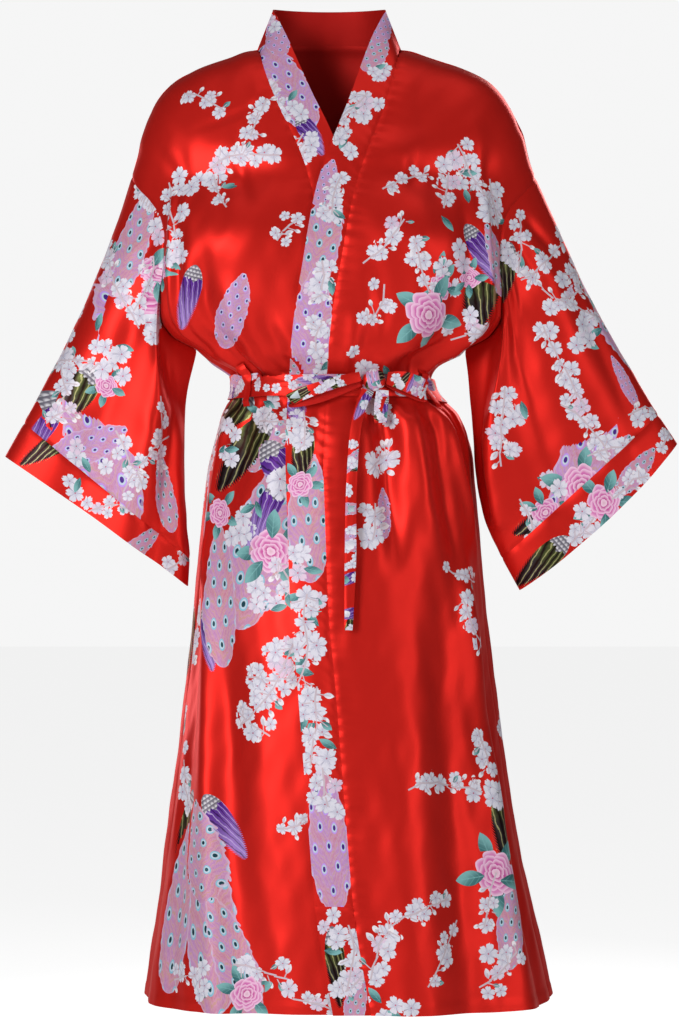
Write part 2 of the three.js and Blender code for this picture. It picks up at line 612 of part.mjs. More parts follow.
// Sleeve, cuff band and the armhole directions of one side
function makeSleeve(side) {
  const grid = sleeveGrid(side);
  const mouth = side > 0 ? MOUTH_LEFT : MOUTH_RIGHT;
  const last = grid[grid.length - 1];
  const end = sleeveRing(side, 1);
  const middleOf = (ring) => ringPoint(side, ring, 0).add(ringPoint(side, ring, 0.5)).multiplyScalar(0.5);
  const outward = middleOf(mouth).sub(middleOf(end)).normalize();
  const mouthAt = (k, i) => {
    const place = mix(armPlaces(side)[i], i / ARM_COUNT, 0.6);
    const from = ringPoint(side, end, place);
    const to = ringPoint(side, mouth, place);
    const along = Math.cos(place * Math.PI * 2);
    to.addScaledVector(outward, mouth.bulge * (1 - along * along));
    return last[i].clone().add(to.sub(from).multiplyScalar(k));
  };
  const cuff = [0, 0.5, 1].map((k) => last.map((p, i) => mouthAt(k, i)));
  const whole = grid.concat(cuff.slice(1));
  const normals = faceOut(ringNormals(whole), (i) => ringCentre(whole[i]), whole);
  return { grid, cuff, normals };
}

const sleeves = { '1': makeSleeve(1), '-1': makeSleeve(-1) };

// Direction at the armhole: the mean of the sleeve's and the body's
function armNormals(side) {
  const sleeve = sleeves[side].normals[0];
  return sleeve.map((n, i) => {
    const behind = i > UNDERARM_ROW;
    const row = behind ? ARM_COUNT - i : i;
    const own = formNormal(side, Math.max(0.01, ROWS[row]), behind);
    return average([n.clone(), own]);
  });
}
const armSeam = { '1': armNormals(1), '-1': armNormals(-1) };

const shoulderNormal = (a) => {
  const front = formNormal(a, 0.012, false);
  const back = formNormal(Math.sign(a) * (2 - Math.abs(a)), 0.012, true);
  return average([front, back]);
};

// Side and armhole direction of a body row
function sideNormal(side, row, behind) {
  if (row <= UNDERARM_ROW) {
    const i = behind ? (ARM_COUNT - row) % ARM_COUNT : row;
    return armSeam[side][i].clone();
  }
  return average([formNormal(side, ROWS[row], false), formNormal(side, ROWS[row], true)]);
}

// Fronts
function frontGrid(side, seam, lifted) {
  return ROWS.map((h, row) => {
    const start = row === 0 ? side * SHOULDER[1].at : seamPlace(seam, h);
    const list = [];
    for (let j = 0; j <= FRONT_COLUMNS; j += 1) {
      const a = mix(start, side, j / FRONT_COLUMNS);
      const z = form(a, h, false).z;
      list.push(body(a, h, false, lifted ? wrapLift(a, z) : 0));
    }
    return list;
  });
}

function gridNormals(grid, flip) {
  const rows = grid.length;
  const columns = grid[0].length;
  const at = (i, j) => grid[i][j];
  return grid.map((row, i) => row.map((p, j) => {
    const n = surfaceNormal(at, i, j, rows, columns);
    return flip ? n.multiplyScalar(-1) : n;
  }));
}

function frontNormals(grid, side) {
  const normals = gridNormals(grid, side < 0);
  const last = FRONT_COLUMNS;
  normals[0] = grid[0].map((p, j) => shoulderNormal(mix(side * SHOULDER[1].at, side, j / last)));
  ROWS.forEach((h, row) => {
    normals[row][last] = sideNormal(side, row, false);
  });
  return normals;
}

const topGrid = frontGrid(1, TOP_SEAM, true);
const topNormals = frontNormals(topGrid, 1);
const underGrid = frontGrid(-1, UNDER_SEAM, false);
const underNormals = frontNormals(underGrid, -1);
const seamed = { top: true, first: 1, last: true };

// Back: columns from the left of the picture over the neck to the right
const BACK_SHARES = [];
for (let j = 0; j < FRONT_COLUMNS; j += 1) BACK_SHARES.push(-mix(1, SHOULDER[1].at, j / FRONT_COLUMNS));
for (let j = -NECK_COLUMNS; j <= NECK_COLUMNS; j += 1) BACK_SHARES.push(SHOULDER[1].at * j / NECK_COLUMNS);
for (let j = 1; j <= FRONT_COLUMNS; j += 1) BACK_SHARES.push(mix(SHOULDER[1].at, 1, j / FRONT_COLUMNS));
const backPlace = (share) => (share < 0 ? -1 : 1) * (2 - Math.abs(share));
const backGrid = ROWS.map((h) => BACK_SHARES.map((share) => body(backPlace(share), h, true)));
const backNormals = gridNormals(backGrid, true);
const isNeck = (share) => Math.abs(share) < SHOULDER[1].at - 1e-6;
BACK_SHARES.forEach((share, j) => {
  if (!isNeck(share)) backNormals[0][j] = shoulderNormal(share);
});
ROWS.forEach((h, row) => {
  backNormals[row][0] = sideNormal(-1, row, true);
  backNormals[row][BACK_SHARES.length - 1] = sideNormal(1, row, true);
});

// Collar and front bands
const BAND_COLUMNS = 3;
function bandGrid(side, seam, source, lifted) {
  return ROWS.map((h, row) => {
    const s = source[row][0];
    const inward = read(COLLAR_EDGE, 'z', s.z, 'inward');
    const up = read(COLLAR_EDGE, 'z', s.z, 'up');
    const list = [];
    for (let j = 0; j <= BAND_COLUMNS; j += 1) {
      const t = j / BAND_COLUMNS;
      const x = s.x - side * inward * t;
      const z = s.z + up * t;
      const hh = z > UNDERARM_Z ? clamp(z / UNDERARM_Z, 0, 1) : rowAt(z);
      let low = -0.9;
      let high = 0.9;
      for (let k = 0; k < 40; k += 1) {
        const mid = (low + high) / 2;
        if (form(mid, hh, false).x < x) low = mid;
        else high = mid;
      }
      const chest = body(low, hh, false, lifted ? wrapLift(low, z) : 0);
      const stand = mix(s.y, read(COLLAR_EDGE, 'z', s.z, 'y') + (lifted ? -wrapLift(low, z) : 0), t);
      const y = mix(stand, chest.y, smooth((-s.z - 90) / 90));
      list.push(j === 0 ? s.clone() : new THREE.Vector3(x, y, z));
    }
    return list;
  });
}

function bandNormals(grid, side, shared) {
  const normals = gridNormals(grid, side > 0);
  grid.forEach((row, i) => {
    normals[i][0] = shared[i][0].clone();
  });
  return normals;
}

const topBand = bandGrid(1, TOP_SEAM, topGrid, true);
const topBandNormals = bandNormals(topBand, 1, topNormals);
const underBand = bandGrid(-1, UNDER_SEAM, underGrid, false);
const underBandNormals = bandNormals(underBand, -1, underNormals);

// Band round the back of the neck, from its left end to its right end
const neckStart = FRONT_COLUMNS;
const neckEnd = FRONT_COLUMNS + 2 * NECK_COLUMNS;
function neckGrid() {
  const rows = [];
  for (let k = 0; k <= 2 * NECK_COLUMNS; k += 1) {
    const share = k / (2 * NECK_COLUMNS) * 2 - 1;
    const low = backGrid[0][neckStart + k];
    const left = underBand[0][BAND_COLUMNS];
    const right = topBand[0][BAND_COLUMNS];
    const round = Math.sqrt(Math.max(0, 1 - share * share));
    const wide = (right.x - left.x) / 2;
    const high = new THREE.Vector3(
      (left.x + right.x) / 2 + wide * Math.sin(share * Math.PI / 2),
      mix(left.y, right.y, share * 0.5 + 0.5) + (NAPE_Y - 14) * Math.cos(share * Math.PI / 2),
      mix(left.z, right.z, share * 0.5 + 0.5) + 8 * round,
    );
    const list = [];
    for (let j = 0; j <= BAND_COLUMNS; j += 1) {
      const t = j / BAND_COLUMNS;
      list.push(low.clone().lerp(high, t));
    }
    rows.push(list);
  }
  return rows;
}
const neck = neckGrid();
const neckNormals = gridNormals(neck, false);
neck.forEach((row, k) => {
  neckNormals[k].forEach((n, j) => {
    if (n.y < 0 && k > 0 && k < neck.length - 1) n.multiplyScalar(-1);
    if (j === 0) n.add(backNormals[0][neckStart + k]).normalize();
  });
});
// The ends of the neck band and the tops of the front bands share their directions
[[0, underBandNormals, -1], [neck.length - 1, topBandNormals, 1]].forEach(([k, other, side]) => {
  neckNormals[k].forEach((n, j) => {
    const shared = new THREE.Vector3(side, 0.1, 0.25).normalize();
    if (j === 0) shared.add(shoulderNormal(side * SHOULDER[1].at)).normalize();
    n.copy(shared);
    other[0][j].copy(shared);
  });
});
for (let k = 0; k <= 2 * NECK_COLUMNS; k += 1) {
  let n = neckNormals[k][0];
  if (k === 0) n = underBandNormals[0][0];
  if (k === 2 * NECK_COLUMNS) n = topBandNormals[0][0];
  backNormals[0][neckStart + k].copy(n);
}
topNormals[0][0].copy(topBandNormals[0][0]);
underNormals[0][0].copy(underBandNormals[0][0]);
function panel(name, grid, normals, seams, thick, colour) {
  add(name, wall(inset(grid, seams), normals, thick, false), colour);
}
panel('front_left', topGrid, topNormals, seamed, WALL, 0xd8261c);
panel('front_right', underGrid, underNormals, seamed, WALL, 0xd8261c);
panel('back', backGrid, backNormals, seamed, WALL, 0xc9231a);

const upperPart = (grid) => grid.slice(0, BAND_JOIN_ROW + 1);
const lowerPart = (grid) => grid.slice(BAND_JOIN_ROW);
const endsSewn = { top: true, bottom: true, first: 2.4 };
const topSewn = { top: true, first: 2.4 };
panel('neck_band', neck, neckNormals, endsSewn, BAND_WALL, 0xe08a9a);
panel('band_left', upperPart(topBand), upperPart(topBandNormals), endsSewn, BAND_WALL, 0xe08a9a);
panel('band_left_foot', lowerPart(topBand), lowerPart(topBandNormals), topSewn, BAND_WALL, 0xe08a9a);
panel('band_right', underBand, underBandNormals, topSewn, BAND_WALL, 0xe08a9a);

// Sleeves and cuff bands
[1, -1].forEach((side) => {
  const s = sleeves[side];
  const word = side > 0 ? 'left' : 'right';
  const normals = s.normals.slice(0, s.grid.length);
  normals[0] = armSeam[side];
  add('sleeve_' + word, wall(inset(s.grid, { top: true, bottom: true }), normals, WALL, true), 0xd8261c);
  add('cuff_band_' + word,
    wall(inset(s.cuff, { top: true }), s.normals.slice(s.grid.length - 1), WALL + 0.3, true), 0xc02a2a);
});

// Belt round the waist, on the outside of what it crosses
const BELT_AROUND = 72;
function beltZ(a) {
  const low = smooth((a + 0.2) / 1.2) * smooth((2 - Math.abs(a)) / 1.2);
  const behind = smooth(gap(a, 0) - 1);
  return BELT_Z - 4 * low - 2 * behind;
}
function outside(a, z, out) {
  const m = a > 2 ? a - 4 : a;
  const behind = Math.abs(m) > 1;
  const p = body(m, rowAt(z), behind, behind ? 0 : wrapLift(m, z));
  const level = formNormal(m, rowAt(-400), behind).setZ(0).normalize();
  return p.addScaledVector(level, out);
}
const beltGrid = [0.5, 0.17, -0.17, -0.5].map((k) => {
  const list = [];
  for (let i = 0; i < BELT_AROUND; i += 1) {
    const a = -2 + 4 * i / BELT_AROUND;
    list.push(outside(a, beltZ(a) + k * BELT_HEIGHT, BELT_GAP + BELT_WALL + (Math.abs(k) < 0.4 ? 0.5 : 0)));
  }
  return list;
});
const beltNormals = faceOut(ringNormals(beltGrid), (i) => ringCentre(beltGrid[i]), beltGrid);
add('belt_wrap', wall(beltGrid, beltNormals, BELT_WALL, true), 0xcf4a4a);

// A point in front of the cloth at x and z, out from its surface
function inFront(x, z, out) {
  let low = -0.95;
  let high = 0.95;
  const h = rowAt(z);
  for (let k = 0; k < 40; k += 1) {
    const mid = (low + high) / 2;
    if (form(mid, h, false).x < x) low = mid;
    else high = mid;
  }
  return outside(low, z, out);
}

// A strip of belt along a path of points in front of the cloth
function strip(path, pieces, thick) {
  const total = path.length - 1;
  const at = (t, column) => {
    const f = clamp(t, 0, 1) * total;
    const i = Math.min(total - 1, Math.floor(f));
    const g = f - i;
    const v = (k) => path[clamp(k, 0, total)][column] ?? 0;
    const a = v(i - 1);
    const b = v(i);
    const c = v(i + 1);
    const d = v(i + 2);
    const bend = (2 * a - 5 * b + 4 * c - d) * g * g;
    const twist = (3 * b - a - 3 * c + d) * g * g * g;
    return 0.5 * (2 * b + (c - a) * g + bend + twist);
  };
  const centre = (t) => inFront(at(t, 'x'), at(t, 'z'), at(t, 'out') + BELT_GAP + BELT_WALL);
  const grid = [];
  const normals = [];
  for (let i = 0; i <= pieces; i += 1) {
    const t = i / pieces;
    const p = centre(t);
    const along = centre(Math.min(1, t + 0.01)).sub(centre(Math.max(0, t - 0.01))).normalize();
    const flat = Math.abs(along.x) > Math.abs(along.z) || path === RIGHT_LOOP || path === LEFT_LOOP;
    const spread = flat
      ? new THREE.Vector3(at(t, 'tilt'), 0, 1).normalize()
      : new THREE.Vector3(1, 0, 0);
    spread.addScaledVector(along, -spread.dot(along)).normalize();
    const half = at(t, 'wide') / 2;
    const n = spread.clone().cross(along).normalize();
    grid.push([-1, -0.33, 0.33, 1].map((k) => p.clone().addScaledVector(spread, k * half)));
    normals.push([0, 0, 0, 0].map(() => n.clone()));
  }
  return wall(grid, normals, thick, false);
}
add('bow_loop_right', strip(RIGHT_LOOP, 22, 1.6), 0xcf4a4a);
add('bow_loop_left', strip(LEFT_LOOP, 22, 1.6), 0xcf4a4a);
add('belt_tail_long', strip(LONG_TAIL, 14, 2), 0xcf4a4a);
add('belt_tail_short', strip(SHORT_TAIL, 6, 2), 0xcf4a4a);

// Knot: several layers pressed together, a solid lump with a crease across it
function knot() {
  const centre = inFront(KNOT.x, KNOT.z, 0);
  centre.y -= KNOT.out + BELT_GAP + BELT_WALL;
  const geometry = new THREE.SphereGeometry(1, 16, 10);
  geometry.deleteAttribute('uv');
  geometry.deleteAttribute('normal');
  const p = geometry.attributes.position;
  for (let i = 0; i < p.count; i += 1) {
    const v = new THREE.Vector3().fromBufferAttribute(p, i);
    const crease = 1 - 0.12 * Math.exp(-Math.pow((v.x * 0.8 + v.y * 0.5) / 0.2, 2));
    p.setXYZ(i, centre.x + v.x * KNOT.wide * crease, centre.y + v.z * KNOT.deep * crease * -1,
      centre.z + v.y * KNOT.tall * crease);
  }
  return geometry;
}
add('belt_knot', knot(), 0xcf4a4a);

// Belt loops, over the belt near the side seams
function beltLoop(place) {
  const rows = [1, 0.86, 0.7, 0.3, -0.3, -0.7, -0.86, -1];
  const half = BELT_LOOPS.wide / 2 / quarter(-400);
  const grid = rows.map((k) => [-half, 0, half].map((d) => {
    const a = place + d;
    const lift = mix(3.4, BELT_LOOPS.out, smooth((1 - Math.abs(k)) / 0.28));
    return outside(a, beltZ(a) + k * BELT_LOOPS.reach, lift);
  }));
  const normals = gridNormals(grid, false);
  normals.forEach((row) => row.forEach((n) => {
    if (n.y > 0) n.multiplyScalar(-1);
  }));
  return wall(grid, normals, 1.2, false);
}
add('belt_loop_left', beltLoop(BELT_LOOPS.left), 0xcf4a4a);
add('belt_loop_right', beltLoop(BELT_LOOPS.right), 0xcf4a4a);

export default group;
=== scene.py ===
import bpy
import math
import numpy as np
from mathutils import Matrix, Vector


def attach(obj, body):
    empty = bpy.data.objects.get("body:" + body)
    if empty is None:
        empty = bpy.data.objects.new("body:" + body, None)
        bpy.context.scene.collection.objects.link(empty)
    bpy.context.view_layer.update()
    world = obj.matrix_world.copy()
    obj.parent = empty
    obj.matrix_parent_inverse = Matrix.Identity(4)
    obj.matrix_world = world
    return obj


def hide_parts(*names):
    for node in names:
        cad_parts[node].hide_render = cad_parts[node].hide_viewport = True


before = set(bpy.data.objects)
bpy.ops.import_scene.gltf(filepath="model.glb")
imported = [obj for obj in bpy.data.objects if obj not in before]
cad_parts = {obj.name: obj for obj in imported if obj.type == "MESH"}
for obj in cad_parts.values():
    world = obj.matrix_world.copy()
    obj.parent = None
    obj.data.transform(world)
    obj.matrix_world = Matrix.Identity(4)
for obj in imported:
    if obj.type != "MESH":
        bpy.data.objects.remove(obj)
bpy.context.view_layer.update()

# Kimono robe in red flowered satin, worn and tied. Sizes in millimetres until the meshes are made, with
# the CAD's axes: +X the wearer's left, -Y the front, +Z up.
RNG = np.random.default_rng(7)
# thickness of the thin shells
SHELL, BAND_SHELL, CUFF_SHELL, BELT_SHELL, LOOP_SHELL, TAIL_SHELL = .9, 1.8, 1.4, 1.4, 1.2, 1.6
KNOT_SHELL, BELT_LOOP_SHELL = 1.0, 1.0

# ---- the robe's form, from the same sizes as the CAD ----
UNDERARM_Z, HEM_Z, HEM_DIP = -354.0, -1111.0, 7.0
CENTRE_X, NECK_CENTRE_X, SHOULDER_CENTRE_X = 1.0, -3.0, 4.0
NAPE_Y, NAPE_Z = 62.0, 16.0
WRAP_LIFT = 6.5
# the belt's middle line, and the level at which its outward direction is taken
BELT_Z, BELT_LEVEL = -399, -400.0
BELT_HEIGHT, BELT_GAP, BELT_WALL = 27.0, 2.0, 2.4


def detail(full):
    return full


def table(names, rows):
    # one array for each named column
    arr = np.array(rows, float)
    return {n: arr[:, i] for i, n in enumerate(names.split())}


SHOULDER = table("at x z", [(0, 0, 0), (.30, 85, 0), (.44, 123, -11), (.60, 181, -35), (.70, 205, -59),
                            (.78, 217, -83), (.86, 226, -106), (.93, 232, -130), (1, 238, -150)])
CHEST = table("at front back armFront armBack xFront xBack", [
    (0, 0, 0, 0, 0, 238, 238), (.03, 27, 27, 18, 18, 236, 236), (.08, 45, 44, 30, 30, 229, 231),
    (.16, 60, 60, 44, 43, 214, 222), (.27, 74, 76, 56, 54, 200, 212), (.40, 90, 86, 62, 59, 195, 205),
    (.55, 104, 90, 61, 58, 195, 201), (.70, 112, 90, 54, 52, 198, 196), (.83, 114, 90, 42, 41, 198, 189),
    (.93, 112, 91, 24, 25, 186, 177), (1, 109, 91, 0, 0, 158, 158)])
SKIRT = table("z half mid front back square", [
    (-354, 158, 1, 109, 91, 2.2), (-366, 137, -6, 105, 89, 2.2), (-378, 122, -2, 95, 85, 2.2),
    (-386, 116, 2, 90, 82, 2.2), (-400, 117, 4, 89, 82, 2.2), (-416, 126, 8, 90, 84, 2.2),
    (-432, 138, 12, 95, 91, 2.2), (-460, 147, 14, 102, 103, 2.2), (-531, 156, 12, 110, 119, 2.2),
    (-649, 167, 12, 119, 126, 2.2), (-767, 180, 12, 127, 131, 2.25), (-873, 194, 13, 134, 136, 2.3),
    (-944, 205, 15, 139, 140, 2.35), (-1015, 218, 18, 144, 145, 2.35), (-1065, 228, 20, 147, 148, 2.4),
    (-1111, 236, 22, 149, 150, 2.4)])
TOP_SEAM = table("z x", [(0, 83), (-69, 65), (-134, 42), (-171, 30), (-218, 20), (-265, 12), (-310, 4),
                         (-379, -3), (-481, -7), (-553, -5), (-659, -1), (-737, 6), (-889, 18), (-994, 27),
                         (-1114, 47)])
UNDER_SEAM = table("z x", [(0, -84), (-27, -77), (-73, -60), (-118, -39), (-150, -27), (-218, -12),
                           (-300, 2), (-400, 12), (-600, 22), (-850, 34), (-1114, 46)])
COLLAR_EDGE = table("z inward up y", [(0, 18, 46, 1), (-27, 29, 34, -24), (-69, 37, 20, -52),
                                      (-134, 40, 13, -86), (-200, 43, 6, -103), (-300, 43, 0, -113)])
RING = "at topX topZ lowX lowZ y thick square"
SLEEVES = {
    1: table(RING, [(0, 239, -153, 159, -354, 0, 60, 2.3), (.25, 278, -234, 168, -430, 2, 51, 2.3),
                    (.5, 318, -313, 172, -500, 0, 44, 2.2), (.75, 358, -383, 183, -556, -4, 36, 2.2),
                    (1, 386, -431, 202, -599, -8, 30, 2.1)]),
    -1: table(RING, [(0, 239, -153, 157, -354, 0, 60, 2.3), (.25, 264, -234, 171, -425, 2, 52, 2.3),
                     (.5, 297, -318, 172, -492, 0, 45, 2.2), (.75, 334, -391, 169, -550, -4, 37, 2.2),
                     (1, 360, -440, 165, -599, -8, 30, 2.1)])}
MOUTHS = {1: dict(topX=408, topZ=-465, lowX=223, lowZ=-637, y=-10, thick=28, square=2.1, bulge=9),
          -1: dict(topX=382, topZ=-480, lowX=167, lowZ=-632, y=-10, thick=28, square=2.1, bulge=-3)}

# a0 z0 a1 z1 high wide fade0 fade1, as in the CAD
BODY_FOLDS = [
    (-.62, -235, -.60, -400, 5, 10, 60, 12), (-.50, -235, -.50, -400, -6, 10, 60, 12),
    (-.38, -265, -.40, -400, 5, 10, 60, 12), (-.80, -260, -.80, -392, -5, 12, 50, 14),
    (.34, -255, .34, -398, 4, 12, 60, 14), (.50, -250, .48, -398, -5, 12, 60, 14),
    (.70, -240, .66, -398, 6, 12, 60, 14), (-.30, -425, -.36, -620, 5, 14, 25, 90),
    (-.52, -420, -.56, -560, -5, 13, 25, 80), (-.72, -420, -.80, -700, 6, 15, 25, 120),
    (-.74, -560, -.33, -1240, 11, 19, 130, 40), (-.56, -660, -.20, -1240, -9, 26, 130, 40),
    (-.92, -560, -.56, -1240, -8, 24, 130, 40), (.20, -420, .26, -640, -9, 11, 20, 110),
    (.34, -424, .44, -600, 6, 12, 20, 90), (.46, -420, .62, -640, -6, 12, 20, 90),
    (.58, -420, .86, -600, 7, 12, 20, 80), (.45, -600, .36, -1240, -8, 26, 150, 40),
    (.64, -560, .68, -840, 10, 18, 110, 130), (.72, -760, .56, -1240, 10, 20, 110, 40),
    (.86, -620, .78, -1240, -9, 24, 150, 40), (.22, -800, .16, -1240, 5, 22, 150, 40),
    (1.12, -425, 1.10, -1240, 8, 22, 60, 40), (1.32, -425, 1.27, -1240, -10, 26, 80, 40),
    (1.50, -430, 1.46, -1240, 11, 24, 100, 40), (1.70, -425, 1.68, -1240, -9, 26, 80, 40),
    (1.90, -440, 1.92, -1240, 10, 24, 120, 40), (-1.10, -425, -1.12, -1240, 8, 22, 80, 40),
    (-1.28, -430, -1.33, -1240, -10, 26, 80, 40), (-1.50, -425, -1.54, -1240, 10, 25, 100, 40),
    (-1.74, -430, -1.76, -1240, -10, 26, 90, 40), (1.25, -230, 1.22, -396, 5, 13, 60, 14),
    (1.50, -240, 1.48, -396, -6, 14, 60, 14), (1.76, -220, 1.78, -396, 5, 14, 70, 14),
    (-1.30, -235, -1.26, -396, 5, 13, 60, 14), (-1.58, -240, -1.58, -396, -6, 14, 60, 14),
    (-1.84, -230, -1.84, -396, 4, 14, 70, 14)]
# a z high round tall
SWELLS = [
    (.40, -232, 7, 62, 50), (-.40, -232, 7, 62, 50), (.55, -160, -5, 75, 30), (-.55, -160, -5, 75, 30),
    (.42, -236, 7, 58, 42), (-.42, -238, 7, 58, 42), (.50, -158, -6, 85, 24), (-.50, -156, -6, 85, 24)]
# u0 t0 u1 t1 high wide fade
SLEEVE_FOLDS = {
    1: [(.36, 0, .40, .90, 9, 17, .12), (.43, 0, .46, .80, -8, 14, .12), (.26, .12, .30, 1.15, -7, 18, .2),
        (.15, .10, .17, 1.15, 5, 18, .25), (.63, .10, .60, 1.15, 7, 18, .2),
        (.75, .10, .73, 1.15, -7, 20, .2), (.86, .10, .85, 1.15, 5, 18, .25)],
    -1: [(.33, 0, .30, 1.15, 9, 17, .12), (.41, .02, .38, 1.15, -8, 17, .12),
         (.22, .12, .20, 1.15, -6, 18, .2), (.62, .10, .61, 1.15, 7, 18, .2),
         (.74, .10, .74, 1.15, -7, 20, .2), (.86, .10, .86, 1.15, 5, 18, .25)]}

# Finer creases, only in the visual model. Same columns as BODY_FOLDS
FINE = [
    (-.46, -120, -.30, -215, -2.2, 9, 40, 50), (-.25, -60, -.62, -110, -2.0, 9, 25, 30),
    (.60, -80, .80, -210, 2.4, 10, 40, 60), (.42, -110, .30, -220, -1.8, 9, 40, 60),
    (-.66, -150, -.74, -330, 2.2, 9, 50, 60), (.78, -190, .86, -340, -2.4, 9, 50, 60),
    (-.84, -165, -.66, -385, 5, 11, 50, 20), (-.72, -190, -.55, -385, -4.5, 10, 40, 20),
    (.58, -180, .57, -388, -4.5, 10, 50, 18), (.74, -165, .70, -388, 5, 12, 50, 18),
    (.16, -250, .22, -388, -3.5, 9, 60, 18), (-.24, -290, -.26, -388, -3.5, 9, 50, 18),
    (.19, -425, .27, -610, -6, 13, 25, 90), (.36, -425, .50, -640, 4, 16, 25, 100),
    (-.60, -640, -.36, -1240, -5, 30, 120, 40), (.30, -700, .26, -1240, 5, 34, 150, 40)]

# gathers above and below the belt, then long faint folds down the skirt
GATHERS, ABOVE_BELT, BELOW_BELT = 26, -393, -411


def either_way(low, high):
    return RNG.choice([-1, 1]) * RNG.uniform(low, high)


for side in (-1, 1):
    for k in range(GATHERS):
        a = side * (0.10 + 1.86 * (k + RNG.uniform(-.35, .35)) / GATHERS)
        z0 = RNG.uniform(-345, -300)
        FINE.append((a + RNG.uniform(-.04, .04), z0, a, ABOVE_BELT, either_way(1.0, 2.4),
                     RNG.uniform(4.5, 8), 30, 9))
        z1 = RNG.uniform(-520, -450)
        FINE.append((a, BELOW_BELT, a + side * RNG.uniform(-.02, .07), z1, either_way(1.0, 2.6),
                     RNG.uniform(4.5, 8.5), 9, 50))
    for k in range(9):
        a = side * RNG.uniform(.1, 1.9)
        z0 = RNG.uniform(-850, -560)
        FINE.append((a, z0, a + RNG.uniform(-.09, .09), z0 - RNG.uniform(140, 260), either_way(.8, 1.8),
                     RNG.uniform(10, 16), 60, 60))


def mix(a, b, t):
    return a + (b - a) * t


def smooth(t):
    # 0 to 1 with soft ends
    c = np.clip(t, 0, 1)
    return c * c * (3 - 2 * c)


def read(tab, key, at, column):
    # a smooth curve through one column, without overshoot
    k, v, x = tab[key], tab[column], np.asarray(at, float)
    if k[-1] < k[0]:
        k, x = -k, -x
    step = np.diff(v) / np.diff(k)
    slope = np.empty_like(v)
    slope[0], slope[-1] = step[0], step[-1]
    a, b = step[:-1], step[1:]
    both = np.where(np.abs(a + b) < 1e-12, 1, a + b)
    slope[1:-1] = np.where(a * b <= 0, 0, 2 * a * b / both)
    x = np.clip(x, k[0], k[-1])
    i = np.clip(np.searchsorted(k, x, side="left") - 1, 0, len(k) - 2)
    w = k[i + 1] - k[i]
    t = (x - k[i]) / w
    t2, t3 = t * t, t * t * t
    return (v[i] * (2 * t3 - 3 * t2 + 1) + slope[i] * w * (t3 - 2 * t2 + t)
            + v[i + 1] * (3 * t2 - 2 * t3) + slope[i + 1] * w * (t3 - t2))


def row_z(h):
    # height of a row below the underarm, and back
    return UNDERARM_Z + (HEM_Z - UNDERARM_Z) * (h - 1)


def row_at(z):
    return 1 + (z - UNDERARM_Z) / (HEM_Z - UNDERARM_Z)


def square_round(s, c, n):
    return (np.abs(s) ** n + np.abs(c) ** n) ** (-1 / n)


def form(a, h, behind):
    # the body surface. a: 0 at the middle of the front, 1 at the side, 2 at the middle of the back,
    # negative on the wearer's right. h: the row
    a, h = np.broadcast_arrays(np.asarray(a, float), np.asarray(h, float))
    side = np.where(a < 0, -1.0, 1.0)
    m = np.abs(a)
    share = 2 - m if behind else m
    s, c = np.sin(share * np.pi / 2), np.cos(share * np.pi / 2)
    z1 = row_z(np.maximum(h, 1))
    r = square_round(s, c, read(SKIRT, "z", z1, "square"))
    x1 = read(SKIRT, "z", z1, "mid") + side * read(SKIRT, "z", z1, "half") * s * r
    y1 = read(SKIRT, "z", z1, "back" if behind else "front") * c * r
    z1 = z1 - HEM_DIP * s * s * smooth((h - 1.6) / .4)
    hu = np.clip(h, 0, 1)
    r = square_round(s, c, SKIRT["square"][0])
    ridge_x = read(SHOULDER, "at", share, "x") / SHOULDER["x"][-1]
    reach = read(CHEST, "at", hu, "xBack" if behind else "xFront")
    mid = mix(mix(NECK_CENTRE_X, SHOULDER_CENTRE_X, share), CENTRE_X, smooth(hu))
    x0 = mid + side * reach * mix(ridge_x, s * r, smooth(hu * 1.1))
    middle = read(CHEST, "at", hu, "back" if behind else "front")
    arm = read(CHEST, "at", hu, "armBack" if behind else "armFront")
    y0 = arm + (middle - arm) * c * r
    z0 = mix(read(SHOULDER, "at", share, "z"), UNDERARM_Z, hu)
    if behind:
        inside = np.clip(share / SHOULDER["at"][1], 0, 1)
        round_ = np.sqrt(np.maximum(0, 1 - inside * inside))
        y0 = np.hypot(y0, NAPE_Y * round_ * (1 - smooth(hu / .45)))
        z0 = z0 + NAPE_Z * round_ * (1 - smooth(hu / .3))
    low = h >= 1
    y = np.where(low, y1, y0)
    return np.stack([np.where(low, x1, x0), y if behind else -y, np.where(low, z1, z0)], -1)


def unit(v):
    return v / np.maximum(np.linalg.norm(v, axis=-1, keepdims=True), 1e-9)


def form_normal(a, h, behind):
    a, h = np.broadcast_arrays(np.asarray(a, float), np.asarray(h, float))
    e, m, sign = .004, np.abs(a), np.where(a < 0, -1.0, 1.0)
    low = np.maximum(1, m - e) if behind else np.maximum(0, m - e)
    high = np.minimum(2, m + e) if behind else np.minimum(1, m + e)
    across = (form(sign * high, h, behind) - form(sign * low, h, behind)) * sign[..., None]
    down = form(a, np.minimum(2, h + e), behind) - form(a, np.maximum(0, h - e), behind)
    return unit(np.cross(down, across))


def gap(a, b):
    d = np.abs(a - b)
    return np.minimum(d, 4 - d)


def quarter(z):
    # length of a quarter of the way round, for folds in millimetres
    z = np.asarray(z, float)
    half = np.where(z > UNDERARM_Z, 190, read(SKIRT, "z", z, "half"))
    depth = np.where(z > UNDERARM_Z, 85, read(SKIRT, "z", z, "front"))
    return 1.57 * np.sqrt((half * half + depth * depth) / 2) * 1.03


def noise(x, y, scale, seed):
    # soft waves in seven directions, repeatable
    r = np.random.default_rng(seed)
    out = 0
    for k in range(7):
        t, f, p = r.uniform(0, 2 * np.pi), r.uniform(.6, 1.6) / scale, r.uniform(0, 6.3)
        out = out + np.sin((x * math.cos(t) + y * math.sin(t)) * f * 2 * np.pi + p)
    return out / 7


